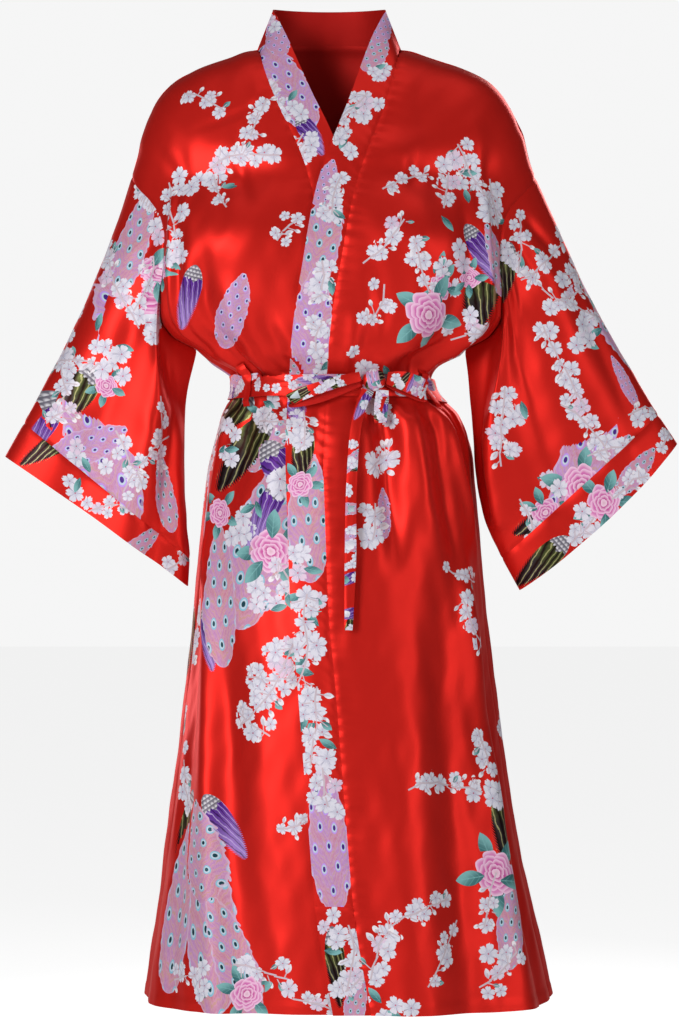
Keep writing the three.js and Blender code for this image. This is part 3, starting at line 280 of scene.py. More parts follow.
def fold_height(a, z, h, fine=True):
    length = quarter(z)
    total = np.zeros_like(z)
    for rows in ((BODY_FOLDS, FINE) if fine else (BODY_FOLDS,)):
        for a0, z0, a1, z1, high, wide, f0, f1 in rows:
            t = (z - z0) / (z1 - z0)
            d = gap(a, mix(a0, a1, t)) * length / wide
            fade = smooth((z0 - z) / f0) * smooth((z - z1) / f1)
            total += np.where((t >= 0) & (t <= 1) & (d < 3), high * np.exp(-d * d) * fade, 0)
    for a0, z0, high, round_, tall in SWELLS:
        d = np.hypot(gap(a, a0) * length / round_, (z - z0) / tall)
        total += np.where(d < 3, high * np.exp(-d * d), 0)
    if fine:
        calm = smooth(np.abs(z - BELT_Z) / 60 - .25)
        total += calm * (1.5 * noise(a * length, z * .45, 70, 3) + .7 * noise(a * length, z * .6, 33, 4))
    still = np.where(np.abs(a) <= 1, smooth((1 - np.abs(a)) / .14), smooth((np.abs(a) - 1) / .14))
    low = smooth((h - 1) / .06 + smooth(gap(np.abs(a), 1) / .14))
    return total * np.where(h < 1, still, low)


def wrap_lift(a, z):
    # the top front lies outside the under front where they cross
    x = a * quarter(z)
    return WRAP_LIFT * smooth((-95 - z) / 45) * smooth((125 - x) / 50) * smooth((x + 110) / 50)


def body(a, h, behind, lift=0.0, fine=True):
    p = form(a, h, behind)
    a, h = np.broadcast_arrays(np.asarray(a, float), np.asarray(h, float))
    n = form_normal(a, h, behind)
    return p + n * (fold_height(a, p[..., 2], h, fine) + lift)[..., None]


def place_at_x(x, h):
    # the place on the front that has this x, by halving
    low, high = np.full(np.shape(h), -.95), np.full(np.shape(h), .95)
    for _ in range(34):
        mid = (low + high) / 2
        less = form(mid, h, False)[..., 0] < x
        low, high = np.where(less, mid, low), np.where(less, high, mid)
    return (low + high) / 2


def seam_place(seam, h):
    low, high = np.full(len(h), -.75), np.full(len(h), .75)
    for _ in range(34):
        mid = (low + high) / 2
        p = form(mid, h, False)
        less = p[:, 0] < read(seam, "z", p[:, 2], "x")
        low, high = np.where(less, mid, low), np.where(less, high, mid)
    return (low + high) / 2


# rows of the CAD panels: 0 at the shoulder, 1 at the underarm, 2 at the hem
CHEST_AT = [0, .02, .05, .1, .17, .26, .37, .49, .61, .73, .84, .93, 1]
SKIRT_Z = [-366, -378, -386, -400, -416, -432, -460, -500, -550, -605, -665, -730, -795, -860, -925, -990,
           -1035, -1075]
CAD_ROWS = np.array(CHEST_AT + [float(row_at(z)) for z in SKIRT_Z] + [2.0])
CHEST_ROWS = len(CHEST_AT)
# the row of the seam that joins the lower length of the top band
JOIN = 28
CHEST_LENGTH, SKIRT_LENGTH, SLEEVE_LENGTH, SLEEVE_ROUND = 354, 757, 330, 520
STEP = detail(3.7)


def finer(rows, length, step):
    # more rows between the given ones, none further apart than a step
    out = [rows[0]]
    for a, b in zip(rows[:-1], rows[1:]):
        n = max(1, int(math.ceil(abs(b - a) * length / step)))
        out += [a + (b - a) * (k + 1) / n for k in range(n)]
    return np.array(out)


H = np.concatenate([finer(CAD_ROWS[:CHEST_ROWS], CHEST_LENGTH, STEP),
                    finer(CAD_ROWS[CHEST_ROWS - 1:], SKIRT_LENGTH, STEP)[1:]])
UNDERARM_ROW = int(np.argmin(np.abs(H - 1)))
JOIN_ROW = int(np.argmin(np.abs(H - CAD_ROWS[JOIN])))
# columns of the CAD panels, each cut into some more
FRONT_COLUMNS = 13 * detail(7)
BACK_PART, NECK_PART = 13 * detail(4), 8 * detail(4)
BAND_COLUMNS = detail(16)
# half of the back's top edge that the neck takes
NECK_SHARE = .30


def grid_normals(g, loop=False):
    if loop:
        across = np.roll(g, -1, 1) - np.roll(g, 1, 1)
    else:
        across = np.gradient(g, axis=1)
    return unit(np.cross(np.gradient(g, axis=0), across))


def run_length(steps):
    return np.cumsum(np.concatenate([np.zeros_like(steps[..., :1]), steps], -1), -1)


def groove(g, n, depth, wide, seams):
    # presses the cloth in beside its seams: the first or last column, the top or bottom row
    across = run_length(np.linalg.norm(np.diff(g, axis=1), axis=-1))
    down = run_length(np.linalg.norm(np.diff(g, axis=0), axis=-1).T).T
    edges = dict(first=across, last=across[:, -1:] - across, top=down, bottom=down[-1:] - down)
    d = np.minimum.reduce([edges[word] for word in seams.split()])
    return g - n * (depth * np.exp(-(d / wide) ** 2))[..., None], across, down


# ---- thin shells ----
PIECES = {}
# layers of print on each face; each size of motif has a few, so that neighbours can overlap
BIG, SMALL, STEM = (0, 1), (2, 3, 4), (5, 6)
LAYERS = len(BIG + SMALL + STEM)


def shell(name, g, normals, thick, loop=False):
    # closed thin wall from a grid of outer points; the outer vertices (v), their normals (n) and the outer
    # faces (f) are kept for the print
    rows, cols = g.shape[:2]
    outer = g.reshape(-1, 3)
    inner = (g - normals * thick).reshape(-1, 3)
    n = rows * cols
    j = np.arange(cols if loop else cols - 1)
    k = (j + 1) % cols
    i = np.arange(rows - 1)[:, None]
    q = np.stack([i * cols + j, (i + 1) * cols + j, (i + 1) * cols + k, i * cols + k], -1).reshape(-1, 4)
    faces = [q, q[:, ::-1] + n]
    e = np.stack([j, k, k + n, j + n], -1)
    faces.append(e)
    f = np.stack([(rows - 1) * cols + j, (rows - 1) * cols + j + n, (rows - 1) * cols + k + n,
                  (rows - 1) * cols + k], -1)
    faces.append(f)
    if not loop:
        r = np.arange(rows - 1)
        a0, a1 = r * cols, (r + 1) * cols
        faces.append(np.stack([a0, a0 + n, a1 + n, a1], -1))
        b0, b1 = r * cols + cols - 1, (r + 1) * cols + cols - 1
        faces.append(np.stack([b0, b1, b1 + n, b0 + n], -1))
    face = np.concatenate(faces)
    verts = np.concatenate([outer, inner])
    c = verts[face]
    vol = np.einsum("ij,ij->i", c[:, 0], np.cross(c[:, 1], c[:, 2]) + np.cross(c[:, 2], c[:, 3])).sum()
    if vol < 0:
        face = face[:, ::-1]
    PIECES[name] = dict(verts=verts, faces=face, outer=len(q), rows=rows, v=outer, n=normals.reshape(-1, 3),
                        f=face[:len(q)], layers=np.zeros((LAYERS, len(q), 4, 3), np.float32))


def outward(n, g):
    centre = g.mean(axis=1, keepdims=True)
    flip = np.einsum("ijk,ijk->ij", n, g - centre) < 0
    return np.where(flip[..., None], -n, n)


# ---- fronts, back, bands ----
def front(side, seam, lifted):
    start = seam_place(seam, H)
    start[0] = side * NECK_SHARE
    a = start[:, None] + (side - start[:, None]) * np.linspace(0, 1, FRONT_COLUMNS + 1)[None]
    h = np.repeat(H[:, None], FRONT_COLUMNS + 1, 1)
    z = form(a, h, False)[..., 2]
    return body(a, h, False, wrap_lift(a, z) if lifted else 0.0)


def hem_roll(g, n, down, size=.5, wide=14):
    # the turned-up hem stands out a little, up to its stitch line
    to_edge = down[-1:] - down
    return g + n * (size * smooth((wide - to_edge) / 2.5))[..., None]


top = front(1, TOP_SEAM, True)
under = front(-1, UNDER_SEAM, False)
side_part = np.linspace(NECK_SHARE, 1, BACK_PART + 1)[1:]
shares = np.concatenate([-np.linspace(1, NECK_SHARE, BACK_PART + 1)[:-1],
                         np.linspace(-NECK_SHARE, NECK_SHARE, NECK_PART + 1), side_part])
back_place = np.where(shares < 0, -1, 1) * (2 - np.abs(shares))
back = body(back_place[None].repeat(len(H), 0), H[:, None].repeat(len(shares), 1), True)


def band(side, source, lifted):
    # from the front's seam inward; it stands up at the neck and lies on the chest below
    s = source[:, 0]
    t = np.linspace(0, 1, BAND_COLUMNS + 1)[None]
    x = s[:, :1] - side * read(COLLAR_EDGE, "z", s[:, 2], "inward")[:, None] * t
    z = s[:, 2:] + read(COLLAR_EDGE, "z", s[:, 2], "up")[:, None] * t
    hh = np.where(z > UNDERARM_Z, np.clip(z / UNDERARM_Z, 0, 1), row_at(z))
    a = place_at_x(x, hh)
    lift = wrap_lift(a, z) if lifted else np.zeros_like(z)
    chest = body(a, hh, False, lift)
    edge = read(COLLAR_EDGE, "z", s[:, 2], "y")[:, None] - lift
    stand = mix(s[:, 1:2], edge, t)
    y = mix(stand, chest[..., 1], smooth((-s[:, 2:] - 90) / 90))
    g = np.stack([x, y, z], -1)
    g[:, 0] = s
    return g


top_band = band(1, top, True)
under_band = band(-1, under, False)


def dress(name, g, flip, thick, seams, hem=False, wide=2.4, wave=0.0):
    # one panel with its seam grooves, its rolled hem and the puckers beside its first seam
    n = grid_normals(g) * (-1 if flip else 1)
    g, across, down = groove(g, n, .9, wide, seams)
    if hem:
        g = hem_roll(g, n, down)
    if wave:
        calm = smooth((np.abs(g[..., 2] - BELT_Z) - 20) / 40)
        g = g + n * (wave * calm * np.sin(down / 2.2 + 5 * noise(down, down * 0, 60, 9))
                     * np.exp(-across / 9))[..., None]
    n = grid_normals(g) * (-1 if flip else 1)
    shell(name, g, n, thick)


dress("front_left", top, False, SHELL, "first last", True, wave=1.0)
dress("front_right", under, True, SHELL, "first last", True, wave=.5)
dress("back", back, True, SHELL, "first last", True)
dress("band_left", top_band[:JOIN_ROW + 1], True, BAND_SHELL, "first bottom", wide=2.2, wave=.9)
dress("band_left_foot", top_band[JOIN_ROW:], True, BAND_SHELL, "first top", wide=2.2, wave=.6)
dress("band_right", under_band, False, BAND_SHELL, "first", wide=2.2, wave=.4)


def neck_band():
    # from the back's neckline up to a line between the tops of the two bands
    share = np.linspace(-1, 1, NECK_PART + 1)
    low = body(np.where(share < 0, -1, 1) * (2 - np.abs(share) * NECK_SHARE), 0 * share, True)
    left, right = under_band[0, -1], top_band[0, -1]
    arch = np.sqrt(np.maximum(0, 1 - share ** 2))
    high = np.stack([(left[0] + right[0]) / 2 + (right[0] - left[0]) / 2 * np.sin(share * np.pi / 2),
                     mix(left[1], right[1], share * .5 + .5) + (NAPE_Y - 14) * np.cos(share * np.pi / 2),
                     mix(left[2], right[2], share * .5 + .5) + 8 * arch], -1)
    g = low[:, None] + (high - low)[:, None] * np.linspace(0, 1, BAND_COLUMNS + 1)[None, :, None]
    n = grid_normals(g)
    if n[NECK_PART // 2, BAND_COLUMNS // 2, 1] < 0:
        n = -n
    shell("neck_band", g, n, BAND_SHELL)


neck_band()


# ---- sleeves ----
def ring_point(side, ring, u):
    c, s = np.cos(u * 2 * np.pi), np.sin(u * 2 * np.pi)
    r = square_round(s, c, ring["square"])
    mx, mz = (ring["topX"] + ring["lowX"]) / 2, (ring["topZ"] + ring["lowZ"]) / 2
    ex, ez = (ring["topX"] - ring["lowX"]) / 2, (ring["topZ"] - ring["lowZ"]) / 2
    return np.stack([side * (mx + ex * c * r), ring["y"] - ring["thick"] * s * r, mz + ez * c * r], -1)


FINE_SLEEVE = {1: [], -1: []}
for side in (1, -1):
    for k in range(14):
        u = RNG.uniform(.03, .97)
        t0 = RNG.uniform(0, .6)
        FINE_SLEEVE[side].append((u, t0, u + RNG.uniform(-.05, .05), t0 + RNG.uniform(.3, .6),
                                  either_way(1.0, 2.2), RNG.uniform(7, 12), .3))
    for k in range(8):
        u = RNG.uniform(.1, .45)
        FINE_SLEEVE[side].append((u, .02, u + RNG.uniform(-.08, .08), RNG.uniform(.25, .4),
                                  either_way(1.2, 2.4), RNG.uniform(6, 9), .4))

SLEEVE_AT = np.array([0, .05, .12, .2, .29, .38, .47, .56, .65, .74, .83, .92, 1])
SLEEVE_ROWS = finer(SLEEVE_AT, SLEEVE_LENGTH, STEP)


def sleeve(side):
    # from the armhole, through the rings, to the cuff band
    hu = H[:UNDERARM_ROW + 1]
    one = np.full(len(hu), float(side))
    loop = np.concatenate([body(one, hu, False), body(one, hu, True)[-2:0:-1]])
    idx = np.interp(hu, CAD_ROWS[:CHEST_ROWS], np.arange(CHEST_ROWS)) / (2 * CHEST_ROWS - 2)
    even = np.concatenate([idx, 1 - idx[-2:0:-1]])
    seg = np.linalg.norm(np.roll(loop, -1, 0) - loop, axis=-1)
    acc = np.concatenate([[0], np.cumsum(seg)])
    half = acc[UNDERARM_ROW]
    rest = acc[:-1] - half
    in_front = np.arange(len(loop)) <= UNDERARM_ROW
    u = np.where(in_front, .5 * acc[:-1] / half, .5 + .5 * rest / (acc[-1] - half))
    tt = SLEEVE_ROWS[:, None]
    place = mix(u[None], even[None], smooth(tt / .6) * .6)
    ring = {c: read(SLEEVES[side], "at", tt, c) for c in RING.split()[1:]}
    p = ring_point(side, ring, place)
    start = ring_point(side, {c: SLEEVES[side][c][0] for c in ring}, u)
    p = p + (loop - start)[None] * (1 - smooth(tt / .42))[..., None]
    middle_x, middle_z = (ring["topX"] + ring["lowX"]) / 2, (ring["topZ"] + ring["lowZ"]) / 2
    out = unit(p - np.stack([side * middle_x, ring["y"], middle_z], -1))
    total = np.zeros(place.shape)
    for kind, rows in enumerate((SLEEVE_FOLDS[side], FINE_SLEEVE[side])):
        for u0, t0, u1, t1, high, wide, fade in rows:
            s = (tt - t0) / (t1 - t0)
            d = np.abs(place - mix(u0, u1, s)) * SLEEVE_ROUND / wide
            f = smooth(s / fade) * smooth((1 - s) / (.1 if kind == 0 else .4))
            total += np.where((s >= 0) & (s <= 1) & (d < 3), high * np.exp(-d * d) * f, 0)
    total += 1.2 * noise(place * SLEEVE_ROUND, tt * 360 + 0 * place, 80, 11 + side) * smooth(tt / .2)
    out = unit(out * np.array([1, 1.6, 1]))
    g = p + out * (total * smooth(tt / .08))[..., None]
    last = g[-1]
    e_place = mix(u, even, .6)
    end = {c: SLEEVES[side][c][-1] for c in ring}
    mouth = MOUTHS[side]
    a0 = (ring_point(side, end, np.array(0.)) + ring_point(side, end, np.array(.5))) / 2
    a1 = (ring_point(side, mouth, np.array(0.)) + ring_point(side, mouth, np.array(.5))) / 2
    forward = unit(a1 - a0)
    along = np.cos(e_place * 2 * np.pi)
    to = ring_point(side, mouth, e_place) + forward * (mouth["bulge"] * (1 - along ** 2))[:, None]
    step = to - ring_point(side, end, e_place)
    cuff = last[None] + step[None] * np.linspace(0, 1, detail(12))[:, None, None]
    return g, cuff


def dress_tube(name, g, thick, seams, wave, reach, seed):
    # one tube with its seam grooves and small puckers beside the seam between sleeve and cuff band
    n = outward(grid_normals(g, True), g)
    g, _, down = groove(g, n, 1.0, 2.6, seams)
    around = np.arange(g.shape[1])[None] / g.shape[1] * SLEEVE_ROUND
    from_seam = down[-1:] - down if "bottom" in seams else down
    ripple = np.sin(around / wave + 3 * noise(around, around * 0, 80, seed)) * np.exp(-from_seam / reach)
    g = g + n * (.5 * ripple)[..., None]
    shell(name, g, outward(grid_normals(g, True), g), thick, True)


for side, word in ((1, "left"), (-1, "right")):
    tube, cuff = sleeve(side)
    dress_tube("sleeve_" + word, tube, SHELL, "top bottom", 7, 8, 5)
    dress_tube("cuff_band_" + word, cuff, CUFF_SHELL, "top", 6, 9, 6)


# ---- belt, knot, bow ----
def belt_z(a):
    # the belt's middle line, a little lower at the side and the back
    return BELT_Z - 4 * smooth((a + .2) / 1.2) * smooth((2 - np.abs(a)) / 1.2) - 2 * smooth(gap(a, 0) - 1)


def outside(a, z, out, fine=False):
    # a point this far outside the body, measured level
    m = np.where(a > 2, a - 4, a)
    h, level_row = row_at(z), np.full(m.shape, row_at(BELT_LEVEL))
    at_front, at_back = np.clip(m, -1, 1), np.where(np.abs(m) < 1, np.sign(m + 1e-9), m)
    f = body(at_front, h, False, wrap_lift(m, z), fine)
    b = body(at_back, h, True, 0.0, fine)
    behind = (np.abs(m) > 1)[..., None]
    level = np.where(behind, form_normal(at_back, level_row, True), form_normal(at_front, level_row, False))
    level = unit(level * np.array([1, 1, 0]))
    return np.where(behind, b, f) + level * np.asarray(out)[..., None]


# points round the belt
AROUND = detail(420)


def belt_wrap():
    k = np.linspace(.5, -.5, detail(15))[:, None]
    a = np.broadcast_to((-2 + 4 * np.arange(AROUND) / AROUND)[None], (len(k), AROUND))
    bulge = (.7 * (1 - (2 * k) ** 2) + .7 * noise(a * 180, k * 60, 60, 21)
             + .5 * noise(a * 180, k * 120, 25, 22))
    crease = -1.1 * np.exp(-((k - .2 - .12 * np.sin(a * 5)) / .05) ** 2) * smooth(1.2 - np.abs(a + .1) / .9)
    g = outside(a, belt_z(a) + k * BELT_HEIGHT, BELT_GAP + BELT_WALL + .1 + bulge + crease)
    shell("belt_wrap", g, outward(grid_normals(g, True), g), BELT_SHELL, True)


belt_wrap()

# the strips of the bow: their middle lines, lean and width, and the thickness of their shell
BOW = {
    "bow_loop_left": (table("x z out tilt wide", [
        (58, -392, 10.5, .10, 14), (74, -396, 15, .16, 22), (90, -405, 15, .20, 23),
        (97, -410, 11, .20, 22), (90, -408, 7.2, .20, 21), (74, -400, 6.6, .16, 20),
        (59, -394, 5.5, .10, 13)]), LOOP_SHELL),
    "bow_loop_right": (table("x z out tilt wide", [
        (31.7, -390, 11, -.20, 11), (8, -397, 14, -.35, 13), (-18, -407, 15, -.40, 14),
        (-36, -415, 12, -.40, 15), (-39, -420, 8.4, -.40, 15), (-20, -417, 6, -.40, 14),
        (8, -407, 5, -.35, 13), (31.7, -396, 5.5, -.20, 11)]), LOOP_SHELL),
    "belt_tail_long": (table("x z out wide", [
        (40.2, -406.8, 9.7, 14), (29, -450, 9, 12), (24, -520, 8, 12), (23, -600, 8, 13),
        (21, -679, 8, 9)]), TAIL_SHELL),
    "belt_tail_short": (table("x z out wide", [
        (54.6, -407.3, 10.2, 14), (55, -425, 10, 16), (56, -443, 9, 14)]), TAIL_SHELL)}


def strip(name, path, thick):
    # a ribbon swept along its middle line
    total = len(path["x"]) - 1

    def at(t, column):
        # smooth curve through the column's values
        v = path.get(column, np.zeros(total + 1))
        f = np.clip(t, 0, 1) * total
        i = np.minimum(total - 1, np.floor(f).astype(int))
        q = f - i
        p = [v[np.clip(i + o, 0, total)] for o in (-1, 0, 1, 2)]
        return .5 * (2 * p[1] + (p[2] - p[0]) * q + (2 * p[0] - 5 * p[1] + 4 * p[2] - p[3]) * q ** 2
                     + (3 * p[1] - p[0] - 3 * p[2] + p[3]) * q ** 3)

    def centre(t):
        x, z = at(t, "x"), at(t, "z")
        return outside(place_at_x(x, row_at(z)), z, at(t, "out") + BELT_GAP + BELT_WALL)

    is_loop = "loop" in name
    t = np.linspace(0, 1, (30 if is_loop else 40) * detail(3))
    p = centre(t)
    along = unit(centre(np.minimum(1, t + .01)) - centre(np.maximum(0, t - .01)))
    lean = np.stack([at(t, "tilt"), 0 * t, 0 * t + 1], -1)
    spread = lean if is_loop else np.tile([1., 0, 0], (len(t), 1))
    spread = unit(spread - along * np.einsum("ij,ij->i", spread, along)[:, None])
    n = unit(np.cross(spread, along))
    if n[0, 1] > 0:
        n = -n
    w = np.linspace(-1, 1, detail(13))
    g = p[:, None] + spread[:, None] * (w[None, :, None] * (at(t, "wide") / 2)[:, None, None])
    sag = .6 * (1 - w ** 2)[None] + .5 * noise(t[:, None] * 60, w[None] * 8, 18, len(name))
    g = g + n[:, None] * (sag * (.7 if is_loop else 1))[..., None]
    shell(name, g, np.repeat(n[:, None], len(w), 1), thick)


for name, (path, thick) in BOW.items():
    strip(name, path, thick)

KNOT = dict(x=46., z=-394., out=9.2, size=np.array([13, 8, 13]))


def knot():
    # pressed layers with three wrapped creases
    x, z = np.array([KNOT["x"]]), np.array([KNOT["z"]])
    centre = outside(place_at_x(x, row_at(z)), z, KNOT["out"] + BELT_GAP + BELT_WALL)[0]
    around, rings = detail((90, 60))
    th = np.linspace(0, 2 * np.pi, around, endpoint=False)[None]
    ph = np.linspace(.001, np.pi - .001, rings)[:, None]
    v = np.stack([np.sin(ph) * np.cos(th), np.sin(ph) * np.sin(th), np.cos(ph) + 0 * th], -1)
    vx, vz = v[..., 0], v[..., 2]
    r = 1 - .13 * np.exp(-((vx * .8 + vz * .5) / .13) ** 2)
    r -= .09 * np.exp(-((vx * .6 - vz * .7 - .35) / .10) ** 2)
    r -= .08 * np.exp(-((vx * .9 + vz * .3 + .55) / .10) ** 2)
    r += .03 * noise(vx * 20, vz * 20, 9, 31)
    g = centre + v * KNOT["size"] * r[..., None]
    shell("belt_knot", g, outward(unit(v / KNOT["size"]), g), KNOT_SHELL, True)


def belt_loop(name, place, wide=9, half_height=24):
    # a narrow loop over the belt: its ends on the body, its middle outside the belt
    k = np.linspace(1, -1, 40)[:, None]
    half = wide / 2 / float(quarter(BELT_LEVEL))
    a = place + np.linspace(-half, half, 7)[None]
    lift = mix(3.0, 7.4, smooth((1 - np.abs(k)) / .28)) + .3 * np.cos(np.linspace(-1.5, 1.5, 7))[None]
    a, k = np.broadcast_arrays(a, k)
    g = outside(a, belt_z(a) + k * half_height, lift)
    n = grid_normals(g)
    shell(name, g, np.where(n[..., 1:2] > 0, -n, n), BELT_LOOP_SHELL)


knot()
belt_loop("belt_loop_left", .62)
belt_loop("belt_loop_right", -.56)

# ---- print: motifs laid on the faces of each piece ----
PLUME, WING = 1, 2
TWIG = 1
BLOSSOM, BUD, LEAF, PEONY = 1, 2, 3, 4
TEAL_LEAF = .95
# motif coordinates of a face without a motif
NOWHERE = 9
PEONY_SCALE = 1.15


def find(name, x, z, facing=-1):
    # the outer vertex nearest to x and z that faces the front (-1) or the back (1)
    p = PIECES[name]
    d = (p["v"][:, 0] - x) ** 2 + (p["v"][:, 2] - z) ** 2 + np.where(p["n"][:, 1] * facing > 0, 0, 1e5)
    return int(np.argmin(d))


def cloth_axes(normal):
    # up the cloth, and to its right
    up = unit(np.array([0, 0, 1.]) - normal * normal[2])
    return up, np.cross(up, normal)


def heading(up, right, degrees):
    turn = math.radians(degrees)
    return up * math.cos(turn) + right * math.sin(turn)


def stamp(name, layer, at, angle, sx, sy, kind, var=0.0):
    # at: index of a vertex, or a point; angle in degrees, 0 up the cloth, positive to the right
    p = PIECES[name]
    if isinstance(at, (int, np.integer)):
        c = p["v"][at]
    else:
        c = np.asarray(at)
        at = int(np.argmin(((p["v"] - c) ** 2).sum(1)))
    n = unit(p["n"][at])
    up, right = cloth_axes(n)
    ey, ex = heading(up, right, angle), heading(right, -up, angle)
    d = p["v"] - c
    x, y, h = d @ ex / sx, d @ ey / sy, d @ n
    near = np.abs(h) < 8 + .7 * max(sx, sy)
    hit = ((np.abs(x) < 1.05 + 2.5 / sx) & (np.abs(y) < 1.05 + 2.5 / sy) & near)[p["f"]].any(1)
    tight = ((x * x + y * y < .9) & near)[p["f"]].any(1)
    used = [(p["layers"][k][hit, 0, 2] > 0).sum() for k in layer]
    choice = layer[int(np.argmin(used))]
    free = p["layers"][choice][:, 0, 2] == 0
    take = hit & (free | tight)
    f = p["f"][take]
    p["layers"][choice][take] = np.stack([x[f], y[f], np.full(f.shape, kind + .05 + .9 * var)], -1)


def stamp_big(name, kind, at, angle, sx, sy, var):
    stamp(name, BIG, at, angle, sx, sy, kind, var)


def spray(name, x, z, angle, length, n, size=10.5, facing=-1, teal=.25):
    # a thin bent branch with blossoms, buds and leaves along it
    at = find(name, x, z, facing)
    p = PIECES[name]
    pos, nrm = p["v"][at].copy(), unit(p["n"][at])
    bend = RNG.uniform(-35, 35)
    pts, heads, idx = [pos], [angle], [at]
    steps = max(3, int(length / 14))
    for k in range(steps):
        ang = math.radians(angle + bend * k / steps + RNG.uniform(-14, 14))
        up, right = cloth_axes(nrm)
        nxt = pos + (up * math.cos(ang) + right * math.sin(ang)) * length / steps
        j = int(np.argmin(((p["v"] - nxt) ** 2).sum(1)))
        seg = math.degrees(ang)
        stamp(name, STEM, (pos + p["v"][j]) / 2, seg, 1.0, length / steps / 2 * 1.15, TWIG)
        pos, nrm = p["v"][j].copy(), unit(p["n"][j])
        pts.append(pos)
        idx.append(j)
        heads.append(seg)
    for k in range(int(n * .8) + 2):
        t = RNG.uniform(0, 1) * (len(pts) - 1)
        i = min(len(pts) - 2, int(t))
        base = mix(pts[i], pts[i + 1], t - i)
        up, right = cloth_axes(unit(p["n"][idx[i]]))
        a = heads[i] + RNG.choice([-1, 1]) * RNG.uniform(30, 80)
        direction = heading(up, right, a)
        reach = size * RNG.uniform(.9, 1.7)
        stamp(name, STEM, base + direction * reach / 2, a, .6, reach / 2, TWIG)
        if RNG.random() < .55:
            stamp(name, SMALL, base + direction * reach, a, size * .30, size * .42, BUD, RNG.random())
        else:
            s = size * RNG.uniform(.45, .75)
            stamp(name, SMALL, base + direction * (reach * .7 + s * .4), a, s * .62, s, LEAF,
                  .9 if RNG.random() < teal else RNG.uniform(0, .45))
    for k in range(n):
        t = (k + RNG.uniform(.1, .9)) / n * (len(pts) - 1)
        i = min(len(pts) - 2, int(t))
        base = mix(pts[i], pts[i + 1], t - i)
        off = RNG.normal(0, size * .62, 3)
        s = size * RNG.uniform(.85, 1.28)
        stamp(name, SMALL, base + off, RNG.uniform(0, 360), s, s * RNG.uniform(.78, 1), BLOSSOM,
              RNG.random())


def cluster(name, x, z, spread, n, size=11, facing=-1):
    # blossoms heaped together, with a few leaves round them
    at = find(name, x, z, facing)
    c = PIECES[name]["v"][at]
    for k in range(n):
        if k % 3 == 2:
            stamp(name, SMALL, c + RNG.normal(0, spread * .7, 3), RNG.uniform(0, 360), size * .45, size * .95,
                  LEAF, TEAL_LEAF)
        s = size * RNG.uniform(.85, 1.2)
        stamp(name, SMALL, c + RNG.normal(0, spread * .45, 3), RNG.uniform(0, 360), s, s * RNG.uniform(.8, 1),
              BLOSSOM, RNG.random())


def peony(name, x, z, size, facing=-1, leaves=5):
    at = find(name, x, z, facing)
    p = PIECES[name]
    c = p["v"][at]
    up, right = cloth_axes(unit(p["n"][at]))
    turn = RNG.uniform(0, 360)
    for k in range(leaves):
        a = turn + 360 * k / leaves + RNG.uniform(-15, 15)
        stamp(name, SMALL, c + heading(up, right, a) * size * 1.15, a, size * .36, size * .62, LEAF,
              TEAL_LEAF)
    stamp(name, SMALL, c, turn, size, size * .86, PEONY, RNG.random())


# for each piece: kind, x, z, angle, half width, half length, tint
BIG_MOTIFS = [
    ("front_right", [(PLUME, -84, -585, 14, 44, 96, .1), (PLUME, -128, -640, -6, 26, 84, .3),
        (WING, -98, -475, 38, 30, 58, .2), (WING, -52, -505, -28, 24, 46, .7),
        (PLUME, -142, -1010, -9, 36, 112, .2), (WING, -166, -915, 12, 22, 52, .6),
        (PLUME, -112, -318, 20, 20, 46, .8), (PLUME, -172, -1000, 2, 32, 100, .2),
        (PLUME, -112, -1050, -20, 26, 74, .2), (PLUME, -150, -935, -14, 30, 60, .2),
        (WING, -120, -430, 30, 26, 44, .3), (WING, -78, -548, 30, 18, 46, .9),
        (PLUME, -70, -468, 40, 20, 40, .2), (WING, -140, -690, -10, 14, 40, .8),
        (PLUME, -172, -560, 4, 18, 60, .8), (WING, -120, -905, -34, 18, 44, .9),
        (WING, -164, -300, 20, 16, 40, .8)]),
    ("band_left", [(PLUME, -10, -232, 14, 27, 62, .1), (PLUME, -20, -330, 4, 27, 62, .8),
        (PLUME, -25, -545, -3, 28, 80, .1), (PLUME, -1, -915, -6, 26, 84, .8),
        (WING, -32, -480, 8, 16, 34, .3), (PLUME, 52, -8, 20, 18, 30, .2),
        (WING, -40, -418, -14, 18, 30, .9), (PLUME, -46, -392, 10, 16, 26, .2),
        (PLUME, 60, 24, 24, 16, 26, .8), (PLUME, -6, -170, 20, 14, 30, .8)]),
    ("band_right", [(PLUME, -52, -45, -24, 28, 70, .8), (WING, -22, -112, -30, 14, 30, .9),
        (PLUME, -62, 12, -24, 16, 32, .8)]),
    ("band_left_foot", [(WING, 8, -1058, -6, 14, 46, .2), (PLUME, 30, -1092, 10, 14, 34, .3)]),
    ("front_left", [(WING, 172, -300, 12, 24, 50, .2), (PLUME, 190, -255, -20, 16, 44, .3),
        (WING, 200, -900, 10, 20, 46, .3), (PLUME, 208, -1010, 8, 20, 60, .2),
        (PLUME, 62, -545, 10, 12, 30, .8), (WING, 176, -250, -30, 16, 40, .7)]),
    ("sleeve_right", [(PLUME, -232, -232, 18, 27, 66, .1), (WING, -300, -412, 40, 24, 46, .5),
        (PLUME, -284, -468, 66, 24, 52, .9), (PLUME, -196, -520, -12, 14, 50, .3),
        (WING, -338, -452, 40, 16, 36, .9)]),
    ("cuff_band_right", [(WING, -330, -470, 60, 16, 40, .4), (PLUME, -226, -588, 50, 14, 40, .2)]),
    ("sleeve_left", [(PLUME, 345, -392, -24, 9, 34, .7), (WING, 262, -560, 60, 20, 44, .3),
        (WING, 205, -268, 8, 14, 36, .4), (PLUME, 330, -486, 40, 16, 36, .1)]),
    ("cuff_band_left", [(WING, 246, -604, 48, 18, 44, .3), (PLUME, 356, -498, 40, 14, 36, .2)])]
